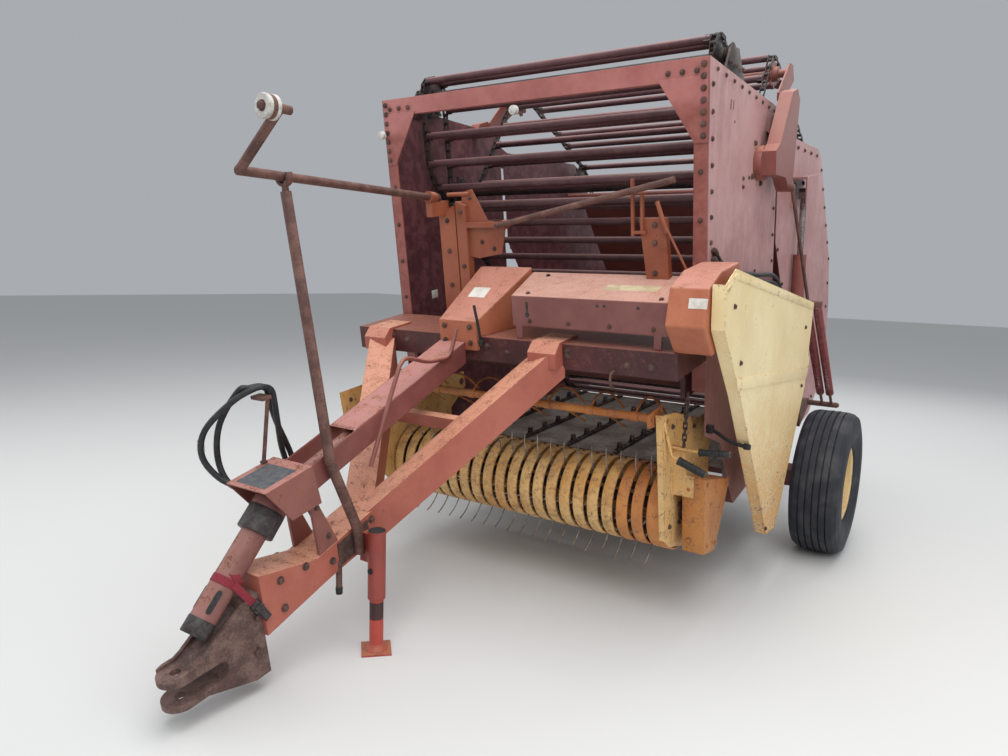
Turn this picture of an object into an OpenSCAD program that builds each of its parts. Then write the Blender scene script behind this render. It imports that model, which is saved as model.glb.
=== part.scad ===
/* [Stance] */
// Nose-down angle at which the machine stands on its jack
park_tilt = 9.5; // [0:0.5:12]
// Wheel radius over the tread
tyre_r = 375; // [330:5:420]
// Tyre section width
tyre_w = 245; // [200:5:290]
// Sideways place of each wheel's middle
wheel_x = 1090; // [1060:5:1150]
// Radius of the wheel rim's bead
rim_r = 195; // [180:1:210]

/* [Chamber] */
// Width over the two side sheets
body_w = 1600; // [1500:10:1700]
// Thickness of the sheets and panels
sheet_t = 5; // [3:0.5:8]
// Front face of the front posts, ahead of the axle
front_y = -1100; // [-1200:10:-1050]
// Top edge of the front beam
top_z = 2425; // [2300:5:2500]
// Height of the top edge at the rear of the fixed side sheet
sheet_rear_z = 2270; // [2200:5:2300]
// Rear edge of the fixed side sheet
sheet_rear_y = -120; // [-160:5:-115]
// Visible height of the top front beam
beam_h = 75; // [60:1:100]
// Width of each front post
post_w = 55; // [40:1:80]
// Depth of the front posts and the top beam
post_d = 60; // [40:1:90]

/* [Tailgate] */
// Hinge line of the tailgate, behind or ahead of the axle
hinge_y = -60; // [-80:1:-40]
// Height of the tailgate's hinge line
hinge_z = 2120; // [2090:1:2150]
// Radius of the hinge pins
hinge_r = 20; // [14:1:24]

/* [Apron] */
// How far each apron chain lies inside the body's half width
chain_inset = 72; // [66:1:100]
// Width of an apron chain
chain_w = 26; // [16:1:34]
// Thickness of an apron chain
chain_t = 24; // [16:1:30]
// Radius of an apron slat tube
slat_r = 17; // [12:0.5:22]
// Spacing of the slats along the chain
slat_pitch = 132; // [110:1:200]
// Radius of the chain over the front top sprocket
sprocket_r = 85; // [70:1:100]

/* [Tongue] */
// Sideways place of the tongue's centre line
tongue_x = -220; // [-260:5:-180]
// Hitch pin hole ahead of the axle
hitch_y = -2927; // [-3000:1:-2850]
// Height of the upper hitch ear's middle
hitch_z = 655; // [600:1:700]
// Radius of the hitch pin hole
hitch_r = 17; // [14:0.5:21]
// Gap between the hitch ears
ear_gap = 62; // [50:1:90]
// Thickness of a hitch ear
ear_t = 22; // [14:1:30]
// Width and height of the tongue's beams
tongue_beam = 118; // [90:1:130]

/* [Jack] */
// Sideways place of the jack
jack_x = -58; // [-70:1:-50]
// Jack tube ahead of the axle, on level ground
jack_y = -2225; // [-2260:1:-2200]
// Radius of the jack's outer tube
jack_r = 33; // [28:1:38]
// Radius of the jack's inner leg
jack_leg_r = 26; // [20:1:27]

/* [Pickup] */
// Centre of the pickup reel ahead of the axle
pickup_y = -1190; // [-1220:5:-1160]
// Height of the pickup reel's centre
pickup_z = 656; // [640:1:680]
// Outer radius of the stripper bands
band_r = 174.5; // [165:0.5:180]
// Number of stripper bands
band_n = 20; // [16:1:24]
// Width of one stripper band
band_w = 52; // [40:1:54]
// Width of the wide drum segment at the driven end
drum_w = 93; // [70:1:130]
// How far the pickup's side plates lie inside the body's half width
pickup_inset = 70; // [68:1:90]
// How far the tines reach from the reel's centre
tine_reach = 272; // [250:1:274]
// Radius of a tine
tine_r = 3; // [2:0.5:4]

/* [Hidden] */
$fn = 48;
half_w = body_w / 2;
chain_x = half_w - chain_inset;
pickup_half = half_w - pickup_inset;
drum_x = pickup_half - drum_w;
// Gap between pieces that seat on each other
seat = 0.3;
beam_z = 1390;
beam_front = front_y - 320;
beam_bottom = 1285;

rust_red = [0.66, 0.29, 0.23];
dark_red = [0.34, 0.12, 0.12];
pale_red = [0.72, 0.40, 0.36];
rust_orange = [0.72, 0.36, 0.20];
cream = [0.87, 0.76, 0.50];
yellow = [0.80, 0.58, 0.24];
black = [0.10, 0.10, 0.11];
steel = [0.28, 0.24, 0.22];
tyre_black = [0.14, 0.15, 0.17];

// The drawn frame is the level machine: origin on the ground under the axle,
// Y to the rear. parked() sets it down on its jack, about the axle.
tip_y = hitch_y - 58;
tip_z = hitch_z + ear_t / 2;
rear_y = 1362;
rear_z = 1050;
rear_low = [1330, 800];
function ground_y(y, z) = y * cos(park_tilt) - (z - tyre_r) * sin(park_tilt);
function ground_z(y, z) = tyre_r + y * sin(park_tilt) + (z - tyre_r) * cos(park_tilt);
shift_y = -(ground_y(tip_y, tip_z) + ground_y(rear_low.x, rear_low.y)) / 2;

module parked()
    translate([0, shift_y, tyre_r]) rotate([park_tilt, 0, 0]) translate([0, 0, -tyre_r]) children();

// A plate in the Y-Z plane, from x0 to x0 + t, with points [y, z].
module plate_x(points, x0, t)
    translate([x0, 0, 0]) rotate([90, 0, 90]) linear_extrude(t) polygon(points);

// A round bar or tube from a to b.
module bar(a, b, r) {
    v = b - a;
    l = norm(v);
    translate(a) rotate([0, acos(v.z / l), atan2(v.y, v.x)]) cylinder(h = l, r = r);
}

// A shaft along X.
module shaft_x(y, z, x0, x1, r) translate([x0, y, z]) rotate([0, 90, 0]) cylinder(h = x1 - x0, r = r);

// A box beam from a to b, w across and h tall, its top edges level sideways.
module beam(a, b, w, h) {
    v = b - a;
    l = norm(v);
    translate(a) rotate([0, 0, atan2(v.y, v.x)]) rotate([0, -asin(v.z / l), 0])
        translate([0, -w / 2, -h / 2]) cube([l, w, h]);
}

module box(lo, hi) translate(lo) cube(hi - lo);

module both_sides() {
    children();
    mirror([1, 0, 0]) children();
}

// Rounded corner between points a, c with corner b and radius r, as n chords.
function unit(v) = v / norm(v);
function fillet(a, b, c, r, n) =
    let (u = unit(a - b), w = unit(c - b), half = acos(u * w) / 2,
         m = b + unit(u + w) * (r / sin(half)),
         p = b + u * (r / tan(half)), q = b + w * (r / tan(half)),
         s = atan2(p.y - m.y, p.x - m.x), e = atan2(q.y - m.y, q.x - m.x),
         d = (e - s > 180) ? e - s - 360 : (e - s < -180) ? e - s + 360 : e - s)
    [for (i = [0:n]) m + r * [cos(s + d * i / n), sin(s + d * i / n)]];

// A sheet t thick bent along an open line, to the left of its direction.
function beside(line, d) =
    let (k = len(line))
    [for (i = [0:k - 1]) let (t = unit(line[min(i + 1, k - 1)] - line[max(i - 1, 0)])) line[i] + d * [-t.y, t.x]];
// A wire 2 r thick at x, bent along [y, z] points.
module bent_wire(points, x, r, steps) {
    line = smooth(points, steps);
    plate_x(concat(beside(line, r), back(beside(line, -r))), x - r, 2 * r);
}
module strip(a, b, t) {
    n = t / 2 * [(a - b).y, (b - a).x] / norm(b - a);
    polygon([a + n, a - n, b - n, b + n]);
}

// A closed line with round corners: corners are [y, z, radius].
function rounded(corners, n = 8) =
    let (k = len(corners))
    [for (i = [0:k - 1])
        let (a = corners[(i + k - 1) % k], b = corners[i], c = corners[(i + 1) % k])
        each fillet([a.x, a.y], [b.x, b.y], [c.x, c.y], b.z, n)];

// The closed line moved sideways by d, to the left of its direction.
function shifted(line, d) =
    let (k = len(line))
    [for (i = [0:k - 1])
        let (a = line[(i + k - 1) % k], c = line[(i + 1) % k], t = unit(c - a))
        line[i] + d * [-t.y, t.x]];

// A hose along points, swept with flat rings.
function ring(p, t, r, n) =
    let (side = unit(cross(abs(t.z) > 0.9 ? [1, 0, 0] : [0, 0, 1], t)), up = cross(t, side))
    [for (i = [0:n - 1]) p + r * (side * cos(360 * i / n) + up * sin(360 * i / n))];
function smooth(p, n = 4) =
    [for (i = [0:len(p) - 2]) for (j = [0:n - 1])
        let (t = j / n, a = p[max(i - 1, 0)], b = p[i], c = p[i + 1], d = p[min(i + 2, len(p) - 1)])
        0.5 * (2 * b + (c - a) * t + (2 * a - 5 * b + 4 * c - d) * t * t
            + (3 * b - a - 3 * c + d) * t * t * t), p[len(p) - 1]];
module hose(points, r, n = 8) {
    p = smooth(points);
    k = len(p);
    rings = [for (i = [0:k - 1]) ring(p[i], unit(p[min(i + 1, k - 1)] - p[max(i - 1, 0)]), r, n)];
    polyhedron(
        points = [for (q = rings) each q],
        faces = concat(
            [[for (j = [0:n - 1]) n - 1 - j]],
            [for (i = [0:k - 2]) for (j = [0:n - 1])
                [i * n + j, i * n + (j + 1) % n, (i + 1) * n + (j + 1) % n, (i + 1) * n + j]],
            [[for (j = [0:n - 1]) (k - 1) * n + j]]));
}

// Apron path in the side view, as [y, z, radius] corners, seen with Y to the right:
// over the front sprocket, down the take-up loop, over the arm sprocket, round the
// tailgate and back up the slanted front run.
front_sprocket = [-790, 2450];
idler = [-620, 1960];
apron_corners = [
    [front_sprocket.x - sprocket_r, front_sprocket.y + sprocket_r, sprocket_r - 5],
    [front_sprocket.x + sprocket_r, front_sprocket.y + sprocket_r, sprocket_r - 5],
    [idler.x - sprocket_r, idler.y - sprocket_r, sprocket_r - 5],
    [idler.x + sprocket_r, idler.y - sprocket_r, sprocket_r - 5],
    [8, 2540, 80],
    [820, 2030, sprocket_r],
    [1235, 1330, 400],
    [1245, 860, 300],
    [980, 560, 200],
    [500, 545, sprocket_r],
    [-875, 2060, 260]
];
apron_line = rounded(apron_corners);
function corner_centre(i) =
    let (k = len(apron_corners), a = apron_corners[(i + k - 1) % k], b = apron_corners[i],
         c = apron_corners[(i + 1) % k], p = [b.x, b.y], u = unit([a.x, a.y] - p), w = unit([c.x, c.y] - p))
    p + unit(u + w) * (b.z / sin(acos(u * w) / 2));
arm_sprocket = corner_centre(4);
arm_sprocket_r = apron_corners[4].z;
gate_sprocket = corner_centre(5);
low_sprocket = corner_centre(9);

// The apron parts at the tailgate's hinge: inside these radii about the hinge
// it stays with the frame.
part_top_r = 445;
part_low_r = 1000;
part_gap = 6;
hinge_at = [hinge_y, hinge_z];
function about_hinge(p) = atan2(p.y - hinge_z, p.x - hinge_y);
function hinge_reach(p) = norm(p - hinge_at);
function part_r(p) = about_hinge(p) > -75 ? part_top_r : part_low_r;
function on_gate(p) = about_hinge(p) < 80 && about_hinge(p) > -135 && hinge_reach(p) > part_r(p) + slat_r + 8;
function on_frame(p) = about_hinge(p) >= 80 || about_hinge(p) <= -135
    || hinge_reach(p) < part_r(p) - slat_r - 8;

line_n = len(apron_line);
leg = [for (i = [0:line_n - 1]) norm(apron_line[(i + 1) % line_n] - apron_line[i])];
function sum_to(i) = i == 0 ? 0 : leg[i - 1] + sum_to(i - 1);
run_to = [for (i = [0:line_n]) sum_to(i)];
function leg_at(s) = [for (i = [0:line_n - 1]) if (run_to[i] <= s && s < run_to[i + 1]) i][0];
function place_at(s) =
    let (i = leg_at(s), t = (s - run_to[i]) / leg[i])
    apron_line[i] * (1 - t) + apron_line[(i + 1) % line_n] * t;
slat_n = floor(run_to[line_n] / slat_pitch);
slats = [for (i = [0:slat_n - 1]) place_at((i + 0.5) * run_to[line_n] / slat_n)];

// The loop is cut where it crosses the circles about the tailgate's hinge. in_gate()
// tells the tailgate's side, crossing() finds the cut on leg i of a line.
function in_gate(p, g) = about_hinge(p) < 80 && about_hinge(p) > -135 && hinge_reach(p) > part_r(p) + g;
function crossing(line, i, r) =
    let (a = line[i] - hinge_at, d = line[(i + 1) % len(line)] - line[i], m = d * d, n = a * d,
         q = sqrt(n * n - m * (a * a - r * r)), t = (-n - q) / m, u = (q - n) / m)
    line[i] + d * (t >= 0 && t <= 1 ? t : u);
function strip_side(line, g, rear) =
    let (k = len(line),
         top = [for (i = [0:k - 1]) if (!in_gate(line[i], g) && in_gate(line[(i + 1) % k], g)) i][0],
         low = [for (i = [0:k - 1]) if (in_gate(line[i], g) && !in_gate(line[(i + 1) % k], g)) i][0],
         cut_top = crossing(line, top, part_top_r + g), cut_low = crossing(line, low, part_low_r + g),
         n = (rear ? low - top : top - low) + k)
    rear ? [cut_top, for (i = [1:n % k]) line[(top + i) % k], cut_low]
         : [cut_low, for (i = [1:n % k]) line[(low + i) % k], cut_top];
function back(line) = [for (i = [len(line) - 1:-1:0]) line[i]];
module apron_chains(rear) {
    g = (rear ? 1 : -1) * part_gap / 2;
    both_sides() plate_x(concat(
        strip_side(shifted(apron_line, chain_t / 2), g, rear),
        back(strip_side(shifted(apron_line, -chain_t / 2), g, rear))), chain_x - chain_w / 2, chain_w);
}

slat_half = chain_x - chain_w / 2 - seat;
module slat_tubes(places)
    for (p = places) shaft_x(p.x, p.y, -slat_half, slat_half, slat_r);

module apron_front() parked() color(dark_red) {
    apron_chains(false);
    slat_tubes([for (p = slats) if (on_frame(p)) p]);
}

module apron_rear() parked() color(dark_red) {
    apron_chains(true);
    slat_tubes([for (p = slats) if (on_gate(p)) p]);
}

// A toothed wheel along X, with tooth tips at radius r.
module sprocket(y, z, r, x, t, teeth) plate_x(
    [for (i = [0:teeth * 4 - 1]) [y, z] + (i % 4 < 2 ? r : r - 14) * [cos(i * 90 / teeth), sin(i * 90 / teeth)]],
    x - t / 2, t);

// A plate in the X-Z plane, from y0 to y0 + t, with points [x, z].
module plate_y(points, y0, t)
    translate([0, y0 + t, 0]) rotate([90, 0, 0]) linear_extrude(t) polygon(points);

sheet_in = half_w - sheet_t;
shield_x = half_w + 175;
shield_hinge = [shield_x - 10, -40];
shield_knuckles = [1010, 1215];
lift_y = 210;
lift_z = 800;
pivot_y = -750;
pivot_z = 935;
pivot_r = 18;
sheet_points = [
    [front_y, top_z], [sheet_rear_y, sheet_rear_z], [sheet_rear_y, 1430], [520, 570],
    [520, 480], [-690, 480], [-900, 860], [front_y, 960]
];

module side_sheet() {
    plate_x(sheet_points, sheet_in, sheet_t);
    // Pins that the pickup's side plates hang on
    shaft_x(pivot_y, pivot_z, pickup_half - 2, sheet_in, pivot_r);
    // Hinge plate and pin of the tailgate
    plate_x([[-330, 2230], [-330, 2160], [hinge_y - 20, 2075], [hinge_y + 45, 2090], [hinge_y + 45, 2160],
        [-180, 2240]], half_w + 8, 8);
    box([half_w, -330, 2165], [half_w + 8, -240, 2225]);
    shaft_x(hinge_y, hinge_z, sheet_in - 12, half_w + 8, hinge_r);
    // Lug of the lift cylinder's lower end
    shaft_x(lift_y, lift_z, half_w, half_w + 110, 14);
    shaft_x(lift_y, lift_z, half_w, lift_x - 24, 45);
}
module side_sheet_left() parked() color(pale_red) {
    side_sheet();
    // Arms and pins that the side shield hangs on
    for (z = shield_knuckles) {
        box([half_w, shield_hinge.y - 20, z - 12], [shield_hinge.x, shield_hinge.y + 5, z - 6]);
        translate([shield_hinge.x, shield_hinge.y, z - 12]) cylinder(h = 62, r = 5);
    }
}
module side_sheet_right() parked() color(pale_red) mirror([1, 0, 0]) side_sheet();

post_out = sheet_in - seat;
post_foot = 1150;
gusset_foot = 2125;
module front_frame() parked() color(rust_red) {
    // Angle posts
    both_sides() translate([0, 0, post_foot]) linear_extrude(top_z - beam_h + 3 - post_foot) polygon([
        [sheet_in - post_w, front_y], [post_out, front_y], [post_out, front_y + post_d],
        [post_out - 6, front_y + post_d], [post_out - 6, front_y + 6], [sheet_in - post_w, front_y + 6]]);
    // Top beam, a channel open to the rear
    plate_x([[front_y, top_z - beam_h], [front_y + post_d, top_z - beam_h], [front_y + post_d, top_z - beam_h + 6],
        [front_y + 6, top_z - beam_h + 6], [front_y + 6, top_z - 15], [front_y + 45, top_z - 15],
        [front_y + 45, top_z - 9], [front_y + 6, top_z - 9], [front_y + 6, top_z], [front_y, top_z]],
        -post_out, 2 * post_out);
    // Corner gussets
    both_sides() plate_y([[post_out - 1, top_z - beam_h + 10], [sheet_in - post_w - 140, top_z - beam_h + 10],
        [sheet_in - post_w + 4, gusset_foot], [post_out - 1, gusset_foot]], front_y - 5, 8);
    // Cross bar between the side sheets, behind the take-up loop
    box([-post_out, -390, 2246], [post_out, -352, 2282]);
}

module cross_beam() parked() color(rust_red) {
    box([-half_w, beam_front, beam_bottom], [half_w, front_y - seat, beam_z]);
    // Rollers over the chamber's mouth, in their end brackets
    bracket = pickup_half - 28;
    both_sides() box([bracket, front_y - 30, 1120], [bracket + 20, -950, beam_bottom]);
    both_sides() box([bracket, front_y - 30, 1120], [bracket + 20, front_y - seat, beam_bottom + 10]);
    shaft_x(-1010, 1180, -bracket - 6, bracket + 6, 45);
    shaft_x(-1060, 1245, -bracket - 6, bracket + 6, 14);
}

rail_z = 480;
axle_out = wheel_x - 160;
// Inner face of the frame's rails, clear of the apron chains
rail_in = chain_x + chain_w / 2 + 9;
module axle_frame() parked() color(rust_red) {
    box([-axle_out, -50, tyre_r - 45], [axle_out, 50, tyre_r + 45]);
    both_sides() {
        box([rail_in, -690, rail_z], [sheet_in - seat, 520, rail_z + 90]);
        box([rail_in, -120, tyre_r + 45], [sheet_in - seat, 120, rail_z]);
        shaft_x(0, tyre_r, axle_out, wheel_x + 15, 30);
    }
    box([-sheet_in, 440, rail_z - 10], [sheet_in, 500, rail_z]);
}

floor_front = [-845, 697];
floor_rear = [360, 575];
floor_half = chain_x - chain_w / 2 - 25;
floor_bar = rail_in - seat;
function floor_z(y) = floor_front.y + (y - floor_front.x) * (floor_rear.y - floor_front.y) / (floor_rear.x - floor_front.x);
module floor() parked() color([0.50, 0.48, 0.45]) {
    plate_x([floor_front, floor_rear, floor_rear - [0, 6], floor_front - [0, 6]], -floor_half, 2 * floor_half);
    // Cross bars under the floor, held between the frame's rails
    box([-floor_bar, 300, 500], [floor_bar, 340, floor_z(340) - 3]);
    box([-floor_bar, -640, 626], [floor_bar, -600, floor_z(-600) - 1.5]);
    both_sides() box([floor_bar - 20, -640, 500], [floor_bar, -600, 640]);
}

chain_lug = 150;
module floor_chains() parked() color(steel) {
    run = norm(floor_rear - floor_front);
    tilt = atan2(floor_rear.y - floor_front.y, floor_rear.x - floor_front.x);
    lugs = floor((run - 60) / chain_lug);
    for (x = [-520:260:520])
        translate([x, floor_front.x, floor_front.y]) rotate([tilt, 0, 0]) plate_x(
            [[4, 0.3], [4, 16], for (i = [0:lugs - 1])
                each [[40 + i * chain_lug, 16], [52 + i * chain_lug, 48], [64 + i * chain_lug, 48],
                    [70 + i * chain_lug, 16]], [run - 4, 16], [run - 4, 0.3]], -11, 22);
}

tongue_meet = [-2100, 780];
tongue_left = [270, beam_front + 20, 1315];
tongue_right = [-660, beam_front + 20, 1315];
tongue_half = 75;
nose_y = -2640;
module tongue() parked() color(rust_red) {
    difference() {
        union() {
            beam(tongue_left, [tongue_x + 10, tongue_meet.x, tongue_meet.y], tongue_beam, tongue_beam + 6);
            beam(tongue_right, [tongue_x - 10, tongue_meet.x, tongue_meet.y], tongue_beam, tongue_beam + 6);
        }
        box([-half_w, beam_front - seat, 1000], [half_w, front_y, 1600]);
    }
    // Lugs that lap over the cross beam
    for (x = [tongue_left.x - 15, tongue_right.x + 12])
        plate_x([[beam_front - 60, 1300], [beam_front - 60, 1360], [beam_front - 20, beam_z + 9],
            [beam_front + 130, beam_z + 9], [beam_front + 130, beam_z + seat], [beam_front - seat, beam_z + seat],
            [beam_front - seat, 1300]], x - 65, 130);
    // Brace between the beams
    beam([tongue_right.x + 160, -1690, 1090], [tongue_left.x - 200, -1690, 1090], 50, 50);
    // Front box
    plate_x([[-2020, 880], [-2400, 800], [nose_y, 860], [nose_y, 640], [-2360, 700], [-2030, 755]],
        tongue_x - tongue_half, 2 * tongue_half);
}

ear_top = hitch_z + ear_t / 2;
ear_low = hitch_z - ear_t / 2 - ear_gap - ear_t;
hitch_half = 60;
module hitch_clevis() parked() color([0.45, 0.33, 0.29]) difference() {
    intersection() {
        plate_x([[nose_y - seat, 800], [-2700, 790], [hitch_y + 62, ear_top + 26], [hitch_y + 30, ear_top + 12],
            [hitch_y - 60, ear_top + 12], [hitch_y - 60, ear_low], [hitch_y + 60, ear_low],
            [nose_y - 30, 490], [nose_y - seat, 500]],
            tongue_x - hitch_half, 2 * hitch_half);
        translate([tongue_x, 0, ear_low - 60]) linear_extrude(500) union() {
            translate([0, hitch_y]) circle(r = 58);
            translate([-58, hitch_y]) square([116, 60]);
            translate([-hitch_half, hitch_y + 60]) square([2 * hitch_half, 400]);
        }
    }
    // Slot for the drawbar, round at its rear end
    box([tongue_x - 90, hitch_y - 80, ear_top - ear_t - ear_gap], [tongue_x + 90, hitch_y + 110, ear_top - ear_t]);
    shaft_x(hitch_y + 110, ear_top - ear_t - ear_gap / 2, tongue_x - 90, tongue_x + 90, ear_gap / 2);
    // Trough along the top, between raised edges
    plate_x([[hitch_y - 80, ear_top], [hitch_y + 30, ear_top], [-2700, 760], [-2700, 900], [hitch_y - 80, 900]],
        tongue_x - 46, 92);
    translate([tongue_x, hitch_y, ear_low - 20]) cylinder(h = 200, r = hitch_r);
}

hood_rear_y = -2362;
module shaft_hood() parked() color([0.55, 0.25, 0.18]) {
    difference() {
        plate_x([[-2582, 1132], [-2380, 1152], [hood_rear_y, 1008], [-2492, 1000]], tongue_x - 100, 200);
        plate_x([[-2700, 1120], [-2400, 1140], [-2385, 900], [-2700, 900]], tongue_x - 94, 188);
    }
    // Rear wall with the bearing that carries the shaft, and the stand on the tongue
    shaft_y = -2440;
    translate([tongue_x, -2375, 1075]) rotate([90, 0, 0]) cylinder(h = 40, r = 55);
    plate_x([[-2390, 1010], [hood_rear_y, 1010], [-2290, 824], [-2380, 804.3]], tongue_x + 60, 12);
    plate_x([[-2390, 1010], [hood_rear_y, 1010], [-2290, 824], [-2380, 804.3]], tongue_x - 72, 12);
}

shield_rear = [-1440 - seat, 1368];
shield_front = [-2361, 1137];
module shaft_shield() parked() color(pale_red) difference() {
    plate_x([shield_rear, shield_front, shield_front - [0, 95], shield_rear - [0, 95]], tongue_x - 68, 136);
    plate_x([shield_rear + [50, 0], shield_front - [50, 8], shield_front - [50, 150], shield_rear + [50, -150]],
        tongue_x - 63, 126);
}

shaft_rear = [tongue_x, -2540, 1000];
shaft_front = [tongue_x, -2850, 745];
module front_shaft() parked() color([0.55, 0.28, 0.24]) {
    // Rear shaft, inside the long shield
    bar([tongue_x, -1441, 1322], [tongue_x, -2368.2, 1087], 25);
    bar([tongue_x, -2431, 1069], [tongue_x, -2500, 1040], 40);
    difference() {
        union() {
            bar(shaft_rear, shaft_front, 44);
            bar([tongue_x, -2490, 1042], [tongue_x, -2575, 970], 62);
        }
        bar(shaft_front + 0.35 * (shaft_rear - shaft_front), shaft_front - 0.2 * (shaft_rear - shaft_front), 38);
    }
}

cover_rear = front_y - 2;
module gear_cover() parked() color(rust_orange) intersection() {
    plate_x([[cover_rear, 1647], [-1420, 1470], [-1440, 1459], [-1440, 1330], [beam_front - 1, 1330],
        [beam_front - 1, beam_z + seat], [cover_rear, beam_z + seat]], -300, 320);
    translate([0, 0, 1300]) linear_extrude(400)
        polygon([[-288, -1445], [-89, -1445], [0, cover_rear], [-281, cover_rear]]);
}

// The driveline cover's top, as its height over a place y
function cover_top(y) = 1573 + (y + 1400) * 0.1735;

module driveline_cover() parked() color([0.58, 0.27, 0.22]) {
    intersection() {
        plate_x([[-1400, 1445], [-1400, cover_top(-1400)], [cover_rear, cover_top(cover_rear)],
            [cover_rear, cover_top(cover_rear) - 8], [-1392, cover_top(-1392) - 8], [-1392, 1445]], 0, half_w - 26);
        translate([0, 0, 1400]) linear_extrude(300)
            polygon([[74, -1401], [half_w, -1401], [half_w, front_y], [3, front_y]]);
    }
    for (x = [90, half_w - 100]) box([x, -1400, beam_z + seat], [x + 30, -1392, 1455]);
}

module end_guard() parked() color(rust_red)
    plate_x([[-1495, 1508], [-1445, 1640], [-1313, 1681], [-1106, 1685], [-1106, beam_z + seat],
        [-1409, beam_z + seat]], half_w - 19, 144);

wheel_teeth_r = sprocket_r - chain_t / 2 - 0.5;
module apron_sprockets() parked() color(steel) {
    for (p = [front_sprocket, idler]) {
        shaft_x(p.x, p.y, -sheet_in + 0.3, sheet_in - 0.3, 19);
        both_sides() {
            sprocket(p.x, p.y, wheel_teeth_r, chain_x, 12, 9);
            shaft_x(p.x, p.y, chain_x - 30, chain_x + 30, 34);
        }
    }
    // Bearing brackets that carry the front shaft above the side sheets
    both_sides() plate_x([[-900, 2399], [-840, 2480], [-740, 2480], [-660, 2361], [-760, 2350], [-900, 2350]],
        sheet_in - 10.3, 10);
    both_sides() plate_x([[-700, 1990], [-620, 2020], [-560, 1990], [-560, 1920], [-700, 1920]],
        sheet_in - 10.3, 10);
}

arm_pivot = [-450, 2030];
arm_x = half_w + 34;
arm_w = 60;
arm_tip = [-245, 1900];
module take_up_arms() parked() color(rust_red) {
    both_sides() {
        // Hub in its bearing on the side sheet
        shaft_x(arm_pivot.x, arm_pivot.y, half_w + 0.3, arm_x, 75);
        plate_x([[-510, 2080], [-440, 2110], [-250, 2330], [-170, 2345], [-120, 2300], [-185, 1980],
            [arm_tip.x + 30, arm_tip.y - 10], [arm_tip.x - 15, arm_tip.y], [-330, 1960], [-500, 1980]],
            arm_x, arm_w);
        // Sprocket plate that reaches over the sheet to the inner sprocket
        plate_x([[-190, 2335], [-120, 2290], [90, 2400], [arm_sprocket.x + 35, 2470], [arm_sprocket.x - 25, 2475]],
            half_w + 6, 8);
        box([half_w + 6, -190, 2300], [arm_x + 4, -140, 2330]);
        sprocket(arm_sprocket.x, arm_sprocket.y, arm_sprocket_r - chain_t / 2 - 0.5, chain_x, 12, 8);
        shaft_x(arm_sprocket.x, arm_sprocket.y, chain_x - 30, chain_x + 30, 34);
    }
    shaft_x(arm_sprocket.x, arm_sprocket.y, -half_w - 8, half_w + 8, 19);
}

spring_x = half_w + 155;
spring_top = [70, 1300];
spring_low = [560, 690];
spring_anchor = [640, 590];
module coil_spring(x) {
    run = norm(spring_low - spring_top);
    tilt = atan2(spring_low.y - spring_top.y, spring_low.x - spring_top.x);
    turns = 38;
    translate([x, spring_top.x, spring_top.y]) rotate([tilt - 90, 0, 0]) rotate_extrude($fn = 32)
        polygon([[0, 0], for (i = [0:turns - 1]) each [[17, i * run / turns], [23, (i + 0.5) * run / turns]],
            [17, run], [0, run]]);
}
module tension_springs() parked() color([0.50, 0.14, 0.15]) both_sides() {
    for (x = [spring_x - 26, spring_x + 26]) {
        coil_spring(x);
        bar([x, spring_low.x, spring_low.y], [x, spring_anchor.x, spring_anchor.y], 8);
    }
    // Yoke and rod up to the take-up arm, and the anchor below
    box([spring_x - 50, spring_top.x - 22, spring_top.y - 6], [spring_x + 50, spring_top.x + 14, spring_top.y + 26]);
    bar([spring_x - 20, spring_top.x, spring_top.y + 20], [arm_x + arm_w + 10, arm_tip.x, arm_tip.y + 12], 8);
    shaft_x(arm_tip.x, arm_tip.y + 12, arm_x + arm_w + 0.3, arm_x + arm_w + 22, 14);
    shaft_x(spring_anchor.x, spring_anchor.y, half_w + 50, spring_x + 55, 16);
    plate_x([[420, 600], [470, 660], [spring_anchor.x + 20, spring_anchor.y + 20],
        [spring_anchor.x + 10, spring_anchor.y - 25], [430, 500]], half_w + 6, 44);
    box([half_w + seat, 430, 510], [half_w + 6, 505, 590]);
}

tube_pivot = [-110, -1190, 1838];
module twine_stands() parked() color(rust_orange) {
    // Two uprights on the beam, with slanted tops
    plate_y([[-470, beam_z + seat], [-377, beam_z + seat], [-377, 1928], [-470, 1897]], -1150, 44);
    plate_y([[-370, beam_z + seat], [-316, beam_z + seat], [-316, 1925], [-370, 1946]], -1150, 44);
    // Short shaft beside them that the crank's joint drives
    box([-378, -1140, 1700], [-340, -1128, 1780]);
    shaft_x(-1128, 1976, -425, -300, 10);
    // The gusset's corner carries the bearing of the twine tube
    difference() {
        union() {
            plate_y([[-345, 1985], [-285, 1998], [-208, 1856], [-110, 1840], [-138, 1708], [-268, 1685],
                [-345, 1700]], -1131, 5);
            box([-340, -1150, 1826], [tube_pivot.x, -1130, 1850]);
            translate([tube_pivot.x, -1165, tube_pivot.z]) rotate([-90, 0, 0]) cylinder(h = 45, r = 20);
        }
        translate([tube_pivot.x, -1170, tube_pivot.z]) rotate([-90, 0, 0]) cylinder(h = 60, r = 9.3);
    }
    // Bearing of the crank rod
    difference() {
        union() {
            bar(crank_on(30), crank_on(80), 26);
            box([-465, -1245, 1885], [-430, -1120, 1950]);
        }
        bar(crank_on(-2), crank_on(110), crank_r + 0.7);
    }
    // Second stand on the driveline cover, with its fork, lever and rod
    difference() {
        plate_y([[571, 1590], [664, 1590], [647, 1855], [537, 1855]], -1150, 35);
        plate_x([[-1200, 1500], [-1050, 1500], [-1050, cover_top(-1050) + seat], [-1200, cover_top(-1200) + seat]],
            500, 200);
    }
    box([508, -1162, 1788], [520, -1147, 2010]);
    box([508, -1162, 1796], [570, -1147, 1808]);
    box([548, -1162, 1800], [560, -1147, 1956]);
    bar([616, -1157, 1920], [656, -1157, 1797], 9);
    bar([641, -1157, 1845], [748, -1157, 1634], 5);
}

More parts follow.
